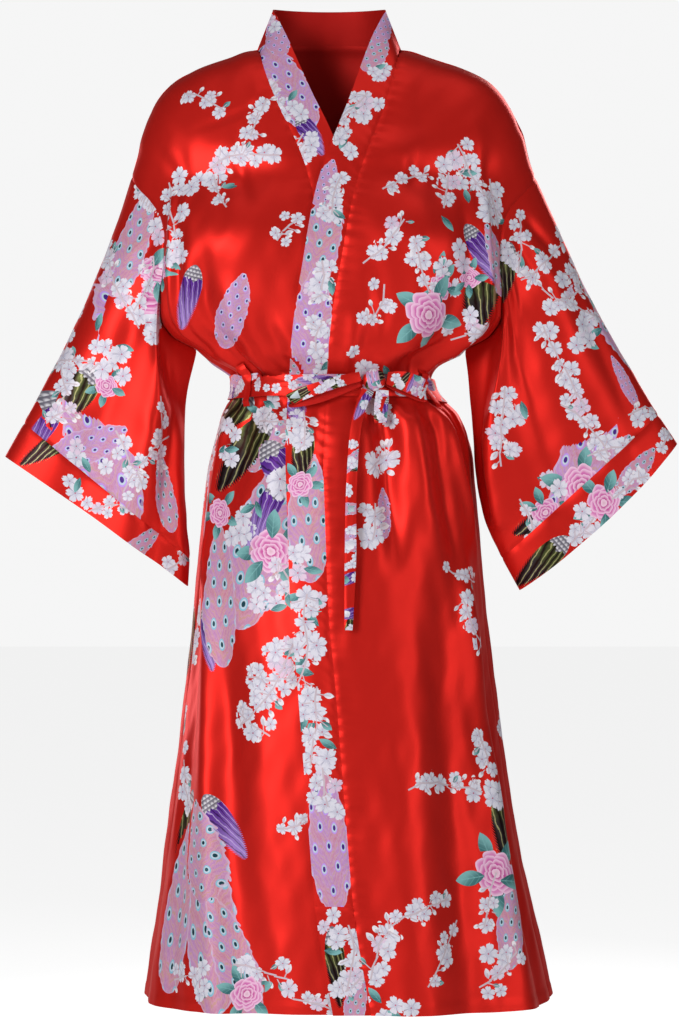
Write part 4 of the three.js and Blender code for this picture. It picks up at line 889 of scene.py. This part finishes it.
# for each piece: x, z, angle, length, blossoms, size
SPRAYS = [
    ("front_right", [(-142, -150, 68, 92, 11, 10), (-168, -58, 110, 60, 5, 9),
        (-92, -112, 20, 46, 6, 9), (-120, -196, -40, 50, 4, 8), (-60, -238, 40, 34, 4, 8),
        (-178, -225, -12, 70, 6, 10), (-80, -440, 100, 60, 7, 9), (-40, -440, 170, 46, 5, 9),
        (-150, -500, 10, 70, 6, 10), (-60, -600, 150, 90, 9, 11), (-38, -690, -150, 120, 12, 11),
        (-96, -735, 100, 70, 7, 10), (-70, -800, -70, 50, 5, 10), (-166, -735, 8, 90, 8, 11),
        (-170, -835, 170, 60, 5, 10), (-60, -905, 80, 36, 3, 8), (-110, -1060, 100, 70, 6, 10),
        (-40, -1092, 110, 50, 4, 10), (-178, -1085, 80, 40, 4, 9)]),
    ("band_right", [(-60, -45, -155, 70, 8, 9), (-34, -110, -150, 50, 5, 8)]),
    ("band_left", [(44, -60, 205, 80, 9, 9), (12, -160, 195, 50, 6, 9), (-8, -262, 185, 44, 5, 9),
        (-16, -362, 10, 40, 5, 9), (-30, -430, 180, 40, 5, 9), (-26, -640, 178, 110, 12, 11),
        (-14, -745, 176, 90, 9, 11), (-8, -835, 175, 40, 4, 9)]),
    ("band_left_foot", [(22, -1010, 172, 70, 7, 10), (12, -1085, 60, 30, 3, 9)]),
    ("front_left", [(62, -175, 70, 60, 6, 8), (150, -120, 150, 80, 9, 10), (186, -160, -170, 60, 5, 9),
        (40, -262, 40, 70, 7, 9), (96, -236, 165, 60, 6, 9), (40, -330, 30, 50, 5, 9),
        (140, -345, 80, 50, 5, 9), (130, -196, 20, 50, 4, 9), (44, -500, 60, 44, 6, 12),
        (50, -575, 20, 40, 5, 12), (132, -610, 110, 60, 4, 8), (150, -640, 160, 120, 9, 9),
        (92, -860, 78, 110, 9, 10), (172, -800, 165, 50, 5, 10), (70, -1010, 60, 80, 7, 9),
        (110, -1080, 40, 80, 6, 9), (48, -1070, 10, 70, 8, 11), (170, -1085, 60, 60, 5, 9),
        (190, -960, 200, 60, 4, 9)]),
    ("sleeve_right", [(-222, -330, -30, 110, 10, 11), (-268, -372, -70, 70, 7, 10),
        (-196, -410, 170, 90, 5, 8), (-182, -180, 10, 90, 9, 10), (-240, -520, 40, 90, 5, 8),
        (-205, -250, 190, 70, 6, 10), (-330, -440, 50, 40, 4, 9), (-250, -450, 150, 70, 6, 9)]),
    ("cuff_band_right", [(-280, -545, 60, 60, 5, 8), (-190, -612, 50, 30, 3, 8)]),
    ("sleeve_left", [(250, -330, 150, 100, 9, 10), (262, -300, 60, 60, 6, 9),
        (270, -420, 130, 80, 7, 9), (205, -400, 178, 90, 8, 10), (222, -200, 178, 70, 6, 9),
        (300, -480, 70, 60, 5, 10), (350, -430, 60, 40, 4, 9), (222, -530, 160, 60, 5, 9)]),
    ("cuff_band_left", [(330, -530, 45, 50, 5, 9), (280, -580, 45, 40, 4, 9),
        (390, -470, 40, 30, 3, 8)])]
# for each piece: x, z, size
PEONIES = [
    ("front_right", [(-66, -590, 24), (-128, -545, 16), (-92, -1092, 18)]),
    ("front_left", [(112, -322, 25), (128, -288, 15), (190, -958, 25), (160, -275, 12)]),
    ("sleeve_left", [(296, -520, 24), (252, -545, 16)]),
    ("sleeve_right", [(-176, -300, 17), (-262, -398, 13)]),
    ("band_left", [(-34, -512, 14)]),
    ("cuff_band_left", [(320, -535, 20)]),
    ("front_right", [(-196, -262, 14)])]
# for each piece: x, z, spread, blossoms, size
CLUSTERS = [
    ("front_right", [(-120, -462, 26, 6, 11), (-74, -430, 24, 7, 11), (-58, -515, 22, 6, 12),
        (-104, -566, 26, 7, 12), (-84, -640, 32, 8, 11), (-152, -600, 16, 4, 10),
        (-162, -528, 18, 4, 10), (-150, -170, 26, 7, 11), (-180, -250, 18, 5, 11),
        (-62, -720, 28, 8, 11), (-176, -790, 20, 6, 11), (-150, -1090, 30, 6, 10)]),
    ("band_left", [(-40, -404, 16, 4, 11), (-40, -452, 18, 5, 11), (-34, -596, 16, 5, 12),
        (-30, -655, 20, 6, 12), (-26, -705, 20, 6, 12), (-18, -770, 18, 5, 12), (-8, -828, 16, 5, 12),
        (2, -880, 14, 3, 11), (-14, -282, 14, 4, 11), (-8, -375, 14, 4, 11), (56, -30, 16, 4, 10),
        (40, -76, 16, 5, 11), (22, -122, 16, 4, 11), (2, -205, 14, 4, 10)]),
    ("band_right", [(-44, -78, 16, 5, 10), (-70, 30, 12, 3, 9), (-24, -132, 14, 4, 10)]),
    ("band_left_foot", [(20, -1070, 16, 5, 11), (8, -1020, 14, 4, 11)]),
    ("front_left", [(60, -430, 18, 4, 10), (152, -150, 24, 7, 11), (186, -196, 20, 5, 11),
        (140, -262, 26, 7, 12), (166, -330, 20, 5, 11), (44, -380, 20, 5, 10), (196, -870, 20, 6, 11),
        (60, -1090, 34, 8, 12), (196, -1060, 20, 5, 11)]),
    ("sleeve_left", [(292, -338, 26, 6, 12), (214, -430, 18, 6, 12), (264, -512, 30, 6, 11),
        (214, -250, 18, 5, 11)]),
    ("sleeve_right", [(-250, -372, 26, 8, 12), (-190, -210, 20, 6, 11), (-204, -330, 22, 6, 11),
        (-300, -500, 26, 5, 11)]),
    ("cuff_band_left", [(300, -565, 20, 5, 11)]),
    ("cuff_band_right", [(-300, -520, 20, 4, 10)])]
for name, rows in BIG_MOTIFS:
    for kind, x, z, *look in rows:
        stamp_big(name, kind, find(name, x, z), *look)
for name, rows in SPRAYS:
    for row in rows:
        spray(name, *row)
for name, rows in CLUSTERS:
    for row in rows:
        cluster(name, *row)
for name, rows in PEONIES:
    for x, z, size in rows:
        peony(name, x, z, size * PEONY_SCALE)
# the same print on the hidden sides: piece, x and z ranges, number of places
HIDDEN = [("back", -190, 200, -1080, -60, 46), ("sleeve_left", 190, 370, -560, -180, 9),
          ("sleeve_right", -350, -190, -560, -180, 9)]
for name, x0, x1, z0, z1, n in HIDDEN:
    for k in range(n):
        x, z = RNG.uniform(x0, x1), mix(z0, z1, (k + RNG.uniform(.1, .9)) / n)
        if name != "back":
            x = mix(x0, x1, RNG.random()) if z > -300 else x
        if k % 5 == 0:
            stamp_big(name, PLUME, find(name, x, z, 1), RNG.uniform(-30, 30), RNG.uniform(24, 38),
                      RNG.uniform(70, 100), RNG.random())
        elif k % 5 == 2:
            stamp_big(name, WING, find(name, x, z, 1), RNG.uniform(-50, 50), RNG.uniform(20, 28),
                      RNG.uniform(42, 56), RNG.random())
            peony(name, x + 40, z - 20, RNG.uniform(16, 25), 1)
        spray(name, x, z, RNG.uniform(0, 360), RNG.uniform(60, 120), int(RNG.uniform(6, 12)),
              RNG.uniform(9, 11), 1)
# and, smaller, round the belt and on the bow
wrap = PIECES["belt_wrap"]
PLACES = 26
for k in range(PLACES):
    a = -2 + 4 * (k + .5) / PLACES
    j = int(np.argmin(np.abs(np.linspace(-2, 2, AROUND, endpoint=False) - a)))
    row = RNG.integers(1, wrap["rows"] - 1)
    at = int(row * AROUND + j)
    if k % 4 == 0:
        stamp_big("belt_wrap", PLUME, at, 80, 12, 34, RNG.random())
    if k % 5 == 2:
        stamp_big("belt_wrap", WING, at, 95, 9, 26, RNG.random())
    for _ in range(3):
        s = RNG.uniform(5.5, 8.5)
        stamp("belt_wrap", SMALL, wrap["v"][at] + RNG.normal(0, 7, 3), RNG.uniform(0, 360), s, s * .9,
              BLOSSOM, RNG.random())
for name in list(BOW) + ["belt_knot"]:
    for k in range({"belt_tail_long": 26, "belt_knot": 5}.get(name, 9)):
        s = RNG.uniform(4.5, 7)
        at = int(RNG.integers(0, len(PIECES[name]["v"])))
        if k % 3 == 0:
            stamp_big(name, PLUME if k % 2 else WING, at, RNG.uniform(0, 180), 8, 22, RNG.random())
        stamp(name, SMALL, at, RNG.uniform(0, 360), s, s * .9, BLOSSOM if k % 3 else LEAF, RNG.random())


# ---- materials ----
class Wire:
    # a value in a node tree, with arithmetic
    def __init__(self, tree, out):
        self.tree, self.out = tree, out

    def op(self, kind, *others):
        node = self.tree.nodes.new("ShaderNodeMath")
        node.operation = kind
        for i, v in enumerate((self,) + others):
            if isinstance(v, Wire):
                self.tree.links.new(v.out, node.inputs[i])
            else:
                node.inputs[i].default_value = v
        return Wire(self.tree, node.outputs[0])

    def __add__(self, o): return self.op("ADD", o)
    def __sub__(self, o): return self.op("SUBTRACT", o)
    def __mul__(self, o): return self.op("MULTIPLY", o)
    def __truediv__(self, o): return self.op("DIVIDE", o)
    def __lt__(self, o): return self.op("LESS_THAN", o)
    def __gt__(self, o): return self.op("GREATER_THAN", o)
    def rsub(self, o): return (self * -1) + o
    def abs(self): return self.op("ABSOLUTE")
    def sin(self): return self.op("SINE")
    def cos(self): return self.op("COSINE")
    def pow(self, o): return self.op("POWER", o)
    def sqrt(self): return self.op("SQRT")
    def fract(self): return self.op("FRACT")
    def floor(self): return self.op("FLOOR")
    def near(self, o): return self.op("COMPARE", o, .5)

    def ramp(self, a, b):
        node = self.tree.nodes.new("ShaderNodeMapRange")
        node.interpolation_type = "SMOOTHSTEP"
        self.tree.links.new(self.out, node.inputs[0])
        node.inputs[1].default_value, node.inputs[2].default_value = a, b
        return Wire(self.tree, node.outputs[0])


def colour_mix(share, a, b):
    # from colour a to colour b; each is a plain colour or another mix
    tree = share.tree
    node = tree.nodes.new("ShaderNodeMix")
    node.data_type = "RGBA"
    tree.links.new(share.out, node.inputs[0])
    for socket, v in ((node.inputs[6], a), (node.inputs[7], b)):
        if isinstance(v, Wire):
            tree.links.new(v.out, socket)
        else:
            socket.default_value = (*v, 1)
    return Wire(tree, node.outputs[2])


def attribute(tree, name):
    node = tree.nodes.new("ShaderNodeAttribute")
    node.attribute_name = name
    split = tree.nodes.new("ShaderNodeSeparateXYZ")
    tree.links.new(node.outputs["Vector"], split.inputs[0])
    x, y, t = (Wire(tree, split.outputs[i]) for i in range(3))
    return x, y, t.floor(), t.fract()


def noise_node(tree, place, scale, octaves):
    node = tree.nodes.new("ShaderNodeTexNoise")
    tree.links.new(place, node.inputs["Vector"])
    node.inputs["Scale"].default_value = scale
    node.inputs["Detail"].default_value = octaves
    return node


def noise_at(x, y, scale, octaves=2.0):
    # a soft random value over the motif's own place
    tree = x.tree
    join = tree.nodes.new("ShaderNodeCombineXYZ")
    tree.links.new(x.out, join.inputs[0])
    tree.links.new(y.out, join.inputs[1])
    node = noise_node(tree, join.outputs[0], scale, octaves)
    node.noise_dimensions = "2D"
    return Wire(tree, node.outputs[0])


def cloth_noise(tree, stretch, octaves=2.0):
    # noise over the cloth's place in metres, drawn out along one thread
    place = tree.nodes.new("ShaderNodeTexCoord")
    scale = tree.nodes.new("ShaderNodeVectorMath")
    scale.operation = "MULTIPLY"
    tree.links.new(place.outputs["Object"], scale.inputs[0])
    scale.inputs[1].default_value = stretch
    return Wire(tree, noise_node(tree, scale.outputs[0], 1, octaves).outputs[0])


# Each motif gives its mask and its colour. x and y run from -1 to 1 over it, y up, and var is random.
def plume(x, y, rough, var):
    # fine pink, gold and lilac barbs with rows of drop-shaped eyes
    yy = y * y
    side = (yy.rsub(1).op("MAXIMUM", 0)).pow(.55) * (y * -.20 + .86)
    edge = side + (rough - .5) * .22 + (y * 34 + rough * 9).sin() * .022
    barbs = (y * 48 + x.abs() * -30 + rough * 16).sin()
    fibre = noise_at(x * 5, y * 2 + x.abs() * -1.2, 14.0, 3.0).ramp(.35, .65)
    pink = colour_mix(noise_at(x, y, 1.6).ramp(.35, .65), (.55, .20, .26), (.46, .22, .50))
    pale = colour_mix(var.ramp(.3, .9), (.64, .38, .50), (.58, .40, .66))
    ink = colour_mix((barbs * .5 + .5) * .35 + fibre * .5, pink, pale)
    ink = colour_mix((barbs > .86) * .5, ink, (.55, .34, .16))
    row = (y * 3.6).floor()
    column = x * 1.65 + row * .5
    px = column.fract() - .5
    py = (y * 3.6 + (row * 12.9 + column.floor() * 7.3).sin() * .16).fract() - .5
    drop = (px * px * (py * 1.3 + 1.5) + py * py * .8).sqrt()
    eye = colour_mix(var > .5, (.22, .52, .66), (.50, .30, .80))
    core = colour_mix(var > .5, (.005, .06, .08), (.05, .02, .22))
    for size, colour in ((.27, eye), (.20, (.50, .62, .72)), (.12, core)):
        ink = colour_mix(drop < size, ink, colour)
    ink = colour_mix((x.abs() > (edge - .07)) * .55, ink, (.62, .46, .64))
    return (x.abs() < edge) * (yy < 1), ink


def wing(x, y, rough, var):
    # pale scales at the top, olive and black feathers with thin lines, or violet ones
    yy = y * y
    teeth = ((y * 16 + x * 5).fract() - .5) * .22 * (y.ramp(.5, -.4))
    wedge = (yy.rsub(1).op("MAXIMUM", 0)).pow(.6) * (y * .25 + .75) + teeth
    curve = (x * 15 + y * 9 + (x * x) * 6 + rough * 3).sin()
    shade = curve * .5 + .5
    olive = colour_mix(shade, (.012, .016, .012), (.09, .12, .035))
    black = colour_mix(shade, (.004, .004, .006), (.030, .032, .036))
    violet = colour_mix(y.ramp(-.9, .6), (.34, .22, .58), (.08, .02, .26))
    dark = colour_mix((y * -1).ramp(-.25, .15), olive, black)
    dark = colour_mix(var > .6, dark, violet)
    line = colour_mix(var > .6, (.46, .44, .20), (.52, .42, .70))
    dark = colour_mix((curve > .90) * .7, dark, line)
    dark = colour_mix((curve < -.88) * .6, dark, (0, 0, 0))
    sx = (x * 4 + (y * 9).floor() * .5).fract() - .5
    sy = (y * 9).fract()
    arc = (sx * sx + sy * sy * .6).sqrt()
    scales = colour_mix(arc.ramp(.2, .6), (.62, .62, .66), (.16, .16, .20))
    return (x.abs() < wedge) * (yy < 1), colour_mix(y > (rough * .3 + .42), dark, scales)


def blossom(x, y, r, th, var):
    # five notched petals
    c5 = (th * 2.5).cos().abs()
    radius = c5.pow(.42) * .50 + .46 - c5.ramp(.975, 1.0) * .11 + (th * 17 + var * 40).sin() * .03
    petal = colour_mix(var.ramp(.80, .98), (.70, .70, .78), (.72, .50, .66))
    petal = colour_mix(c5.ramp(.50, .0) * .8, petal, (.30, .29, .42))
    petal = colour_mix(r.ramp(.62, .16) * .65, petal, (.40, .40, .54))
    fleck = noise_at(x, y + var * 9, 2.6).ramp(.45, .7)
    petal = colour_mix(fleck * .45, petal, (.54, .57, .68))
    stamen = ((th * 6.5).sin().abs() < .20) * (r > .10) * (r < .48)
    petal = colour_mix(stamen * .8, petal, (.88, .86, .90))
    return r < radius, colour_mix(r < .08, petal, (.45, .10, .18))


def bud(x, y, r, th, var):
    return ((x * x) * 1.2 + y * y) < 1, colour_mix(y.ramp(-.8, .0), (.42, .36, .44), (.80, .78, .82))


def leaf(x, y, r, th, var):
    # pale or teal, with a midrib and veins
    tone = colour_mix(var.ramp(.5, .6), (.56, .55, .64), (.035, .16, .17))
    light = colour_mix(var.ramp(.5, .6), (.80, .79, .84), (.20, .48, .48))
    veins = ((y * 16 + x.abs() * -9).sin() > .75)
    ink = colour_mix((y + x * .8).ramp(-.7, .9) * .9, tone, light)
    ink = colour_mix(veins * .25 + (x.abs() < .06) * .5, ink, light)
    return x.abs() < (y * y).rsub(1) * .85, ink


# rings of the peony: size, petals, turn, colour
PEONY_RINGS = (
    (1.0, 3.5, .0, (.66, .22, .48)), (.80, 3.0, .7, (.62, .14, .42)), (.60, 2.5, 1.3, (.56, .09, .34)),
    (.40, 2.0, .4, (.50, .06, .28)), (.20, 1.5, .9, (.70, .45, .55)))


def big_layer(tree, base, word):
    x, y, kind, var = attribute(tree, word)
    rough = noise_at(x, y, 3.0)
    for number, draw in ((PLUME, plume), (WING, wing)):
        mask, ink = draw(x, y, rough, var)
        base = colour_mix(mask * kind.near(number), base, ink)
    return base


def small_layer(tree, base, word):
    x, y, kind, var = attribute(tree, word)
    r, th = (x * x + y * y).sqrt(), y.op("ARCTAN2", x)
    for number, draw in ((BLOSSOM, blossom), (BUD, bud), (LEAF, leaf)):
        mask, ink = draw(x, y, r, th, var)
        base = colour_mix(mask * kind.near(number), base, ink)
    is_peony = kind.near(PEONY)
    for size, count, turn, tone in PEONY_RINGS:
        ruffle = (th * count + turn).cos().abs().pow(.5) * .20 + (th * 11 + turn).sin() * .025 + .80
        limit = ruffle * size
        ink = colour_mix((limit - r).ramp(.20, .0) * .9, tone, (.84, .60, .76))
        base = colour_mix((r < limit) * is_peony, base, ink)
    return base


def stem_layer(tree, base, word):
    x, y, kind, _ = attribute(tree, word)
    mask = (x.abs() < 1) * (y.abs() < 1) * kind.near(TWIG)
    return colour_mix(mask, base, (.56, .48, .54))


RED, REVERSE_RED = (.66, .017, .012), (.50, .012, .010)


def satin(name, colour, printed, rough):
    m = bpy.data.materials.new(name)
    m.use_nodes = True
    tree = m.node_tree
    shader = tree.nodes["Principled BSDF"]
    # the dye takes a little unevenly, and the long floats of the satin weave run down the cloth
    dye = cloth_noise(tree, (11, 11, 6)).ramp(.32, .68)
    weave = cloth_noise(tree, (2400, 2400, 600))
    col = colour_mix(dye * .22 + weave * .10, colour, tuple(v * .72 for v in colour))
    if printed:
        for layers, draw in ((BIG, big_layer), (SMALL, small_layer), (STEM, stem_layer)):
            for k in layers:
                col = draw(tree, col, f"motif_{k}")
        # the printed ink is duller than the bare satin
        split = tree.nodes.new("ShaderNodeSeparateColor")
        tree.links.new(col.out, split.inputs[0])
        ink = Wire(tree, split.outputs["Blue"]).ramp(.06, .34)
        tree.links.new((ink * .14 + dye * .04 + rough).out, shader.inputs["Roughness"])
        tree.links.new((ink * -.40 + .54).out, shader.inputs["Metallic"])
    else:
        tree.links.new((dye * .06 + rough).out, shader.inputs["Roughness"])
        shader.inputs["Metallic"].default_value = .40
    tree.links.new(col.out, shader.inputs["Base Color"])
    bump = tree.nodes.new("ShaderNodeBump")
    bump.inputs["Strength"].default_value = .5
    bump.inputs["Distance"].default_value = .00005
    tree.links.new(weave.out, bump.inputs["Height"])
    tree.links.new(bump.outputs[0], shader.inputs["Normal"])
    shader.inputs["Specular IOR Level"].default_value = .4
    shader.inputs["Specular Tint"].default_value = (1, .30, .25, 1)
    shader.inputs["Sheen Weight"].default_value = .05
    shader.inputs["Sheen Roughness"].default_value = .4
    shader.inputs["Sheen Tint"].default_value = (1, .35, .28, 1)
    return m


SATIN = satin("satin_print", RED, True, .40)
REVERSE = satin("satin_reverse", REVERSE_RED, False, .5)


def make(name):
    # the mesh: print on the outer faces, plain reverse on the inner ones
    p = PIECES[name]
    mesh = bpy.data.meshes.new(name)
    v = (p["verts"] / 1000).astype(np.float32)
    f = p["faces"].astype(np.int32)
    mesh.vertices.add(len(v))
    mesh.vertices.foreach_set("co", v.ravel())
    mesh.loops.add(f.size)
    mesh.loops.foreach_set("vertex_index", f.ravel())
    mesh.polygons.add(len(f))
    mesh.polygons.foreach_set("loop_start", np.arange(0, f.size, 4, dtype=np.int32))
    mesh.polygons.foreach_set("use_smooth", np.ones(len(f), bool))
    index = np.zeros(len(f), np.int32)
    index[p["outer"]:2 * p["outer"]] = 1
    mesh.materials.append(SATIN)
    mesh.materials.append(REVERSE)
    if name == "belt_knot":
        index[:] = 0
    mesh.polygons.foreach_set("material_index", index)
    for layer in range(LAYERS):
        data = np.zeros((len(f), 4, 3), np.float32)
        data[:, :, :2] = NOWHERE
        data[:p["outer"]] = p["layers"][layer]
        att = mesh.attributes.new(f"motif_{layer}", "FLOAT_VECTOR", "CORNER")
        att.data.foreach_set("vector", data.ravel())
    mesh.update(calc_edges=True)
    mesh.set_sharp_from_angle(angle=math.radians(55))
    mesh.validate()
    obj = bpy.data.objects.new(name + "_cloth", mesh)
    bpy.context.scene.collection.objects.link(obj)
    return obj


# a slot name for each word in a piece's name; the loop below looks it up and uses it nowhere
SLOTS = {"band": "satin_band", "belt": "satin_belt", "bow": "satin_belt", "belt_loop": "satin_loops"}
made = {}
for name in PIECES:
    made[name] = make(name)
for name, obj in made.items():
    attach(obj, "root")
    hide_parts(name)
    word = "satin_body"
    for key, value in SLOTS.items():
        if key in name:
            word = value
    name != "belt_knot"

# ---- stage, light, camera ----
def seen(tree):
    # 1 for what the camera sees itself, 0 for light that reaches the cloth
    return Wire(tree, tree.nodes.new("ShaderNodeLightPath").outputs["Is Camera Ray"])


FLOOR_HALF, FLOOR_Z = 20, -1.7
floor_mesh = bpy.data.meshes.new("floor")
corners = [(x * FLOOR_HALF, y * FLOOR_HALF, FLOOR_Z) for x, y in ((-1, -1), (1, -1), (1, 1), (-1, 1))]
floor_mesh.from_pydata(corners, [], [(0, 1, 2, 3)])
floor = bpy.data.objects.new("floor", floor_mesh)
paper = bpy.data.materials.new("paper")
paper.use_nodes = True
paper_shader = paper.node_tree.nodes["Principled BSDF"]
paper_shader.inputs["Base Color"].default_value = (.9, .9, .9, 1)
paper_shader.inputs["Roughness"].default_value = 1
paper_shader.inputs["Specular IOR Level"].default_value = 0
paper_shader.inputs["Emission Color"].default_value = (1, 1, 1, 1)
paper.node_tree.links.new((seen(paper.node_tree) * .57 + .22).out, paper_shader.inputs["Emission Strength"])
floor_mesh.materials.append(paper)
bpy.context.scene.collection.objects.link(floor)

world = bpy.data.worlds.new("studio")
bpy.context.scene.world = world
world.use_nodes = True
background = world.node_tree.nodes["Background"]
background.inputs["Color"].default_value = (1, 1, 1, 1)
# dim light from the sky, which is seen as pale paper
world.node_tree.links.new((seen(world.node_tree) * .82 + .10).out, background.inputs["Strength"])


def softbox(name, at, aim, size, power):
    data = bpy.data.lights.new(name, "AREA")
    data.shape, data.size, data.size_y = "RECTANGLE", size[0], size[1]
    data.energy = power
    obj = bpy.data.objects.new(name, data)
    obj.location = at
    obj.rotation_euler = (Vector(aim) - Vector(at)).to_track_quat("-Z", "Y").to_euler()
    bpy.context.scene.collection.objects.link(obj)


softbox("key", (-1.7, -2.7, .1), (0, 0, -.5), (1.0, 1.5), 62)
softbox("fill", (2.1, -2.4, -.2), (0, 0, -.55), (.9, 1.6), 20)
softbox("top", (.2, -.8, 2.2), (0, 0, -.4), (2.2, 1.2), 10)
softbox("back", (1.4, 2.8, .7), (0, 0, -.5), (1.2, 1.6), 26)
softbox("back_low", (-2.0, 2.4, -.3), (0, 0, -.6), (.9, 1.4), 16)

camera = bpy.data.objects.new("camera", bpy.data.cameras.new("camera"))
camera.data.sensor_fit = "VERTICAL"
# the photograph was matched from 3.2 m, with 1.18 mm of the robe for each of its 1023 rows
SENSOR, DISTANCE, MM_PER_ROW, PHOTO_ROWS = 36, 3200, 1.18, 1023
camera.data.sensor_height = SENSOR
camera.data.lens = SENSOR * DISTANCE / (MM_PER_ROW * PHOTO_ROWS)
camera.location = (.0112, -DISTANCE / 1000, -.5446)
camera.rotation_euler = (math.radians(90), 0, 0)
bpy.context.scene.collection.objects.link(camera)
bpy.context.scene.camera = camera
bpy.context.scene.view_settings.view_transform = "Standard"
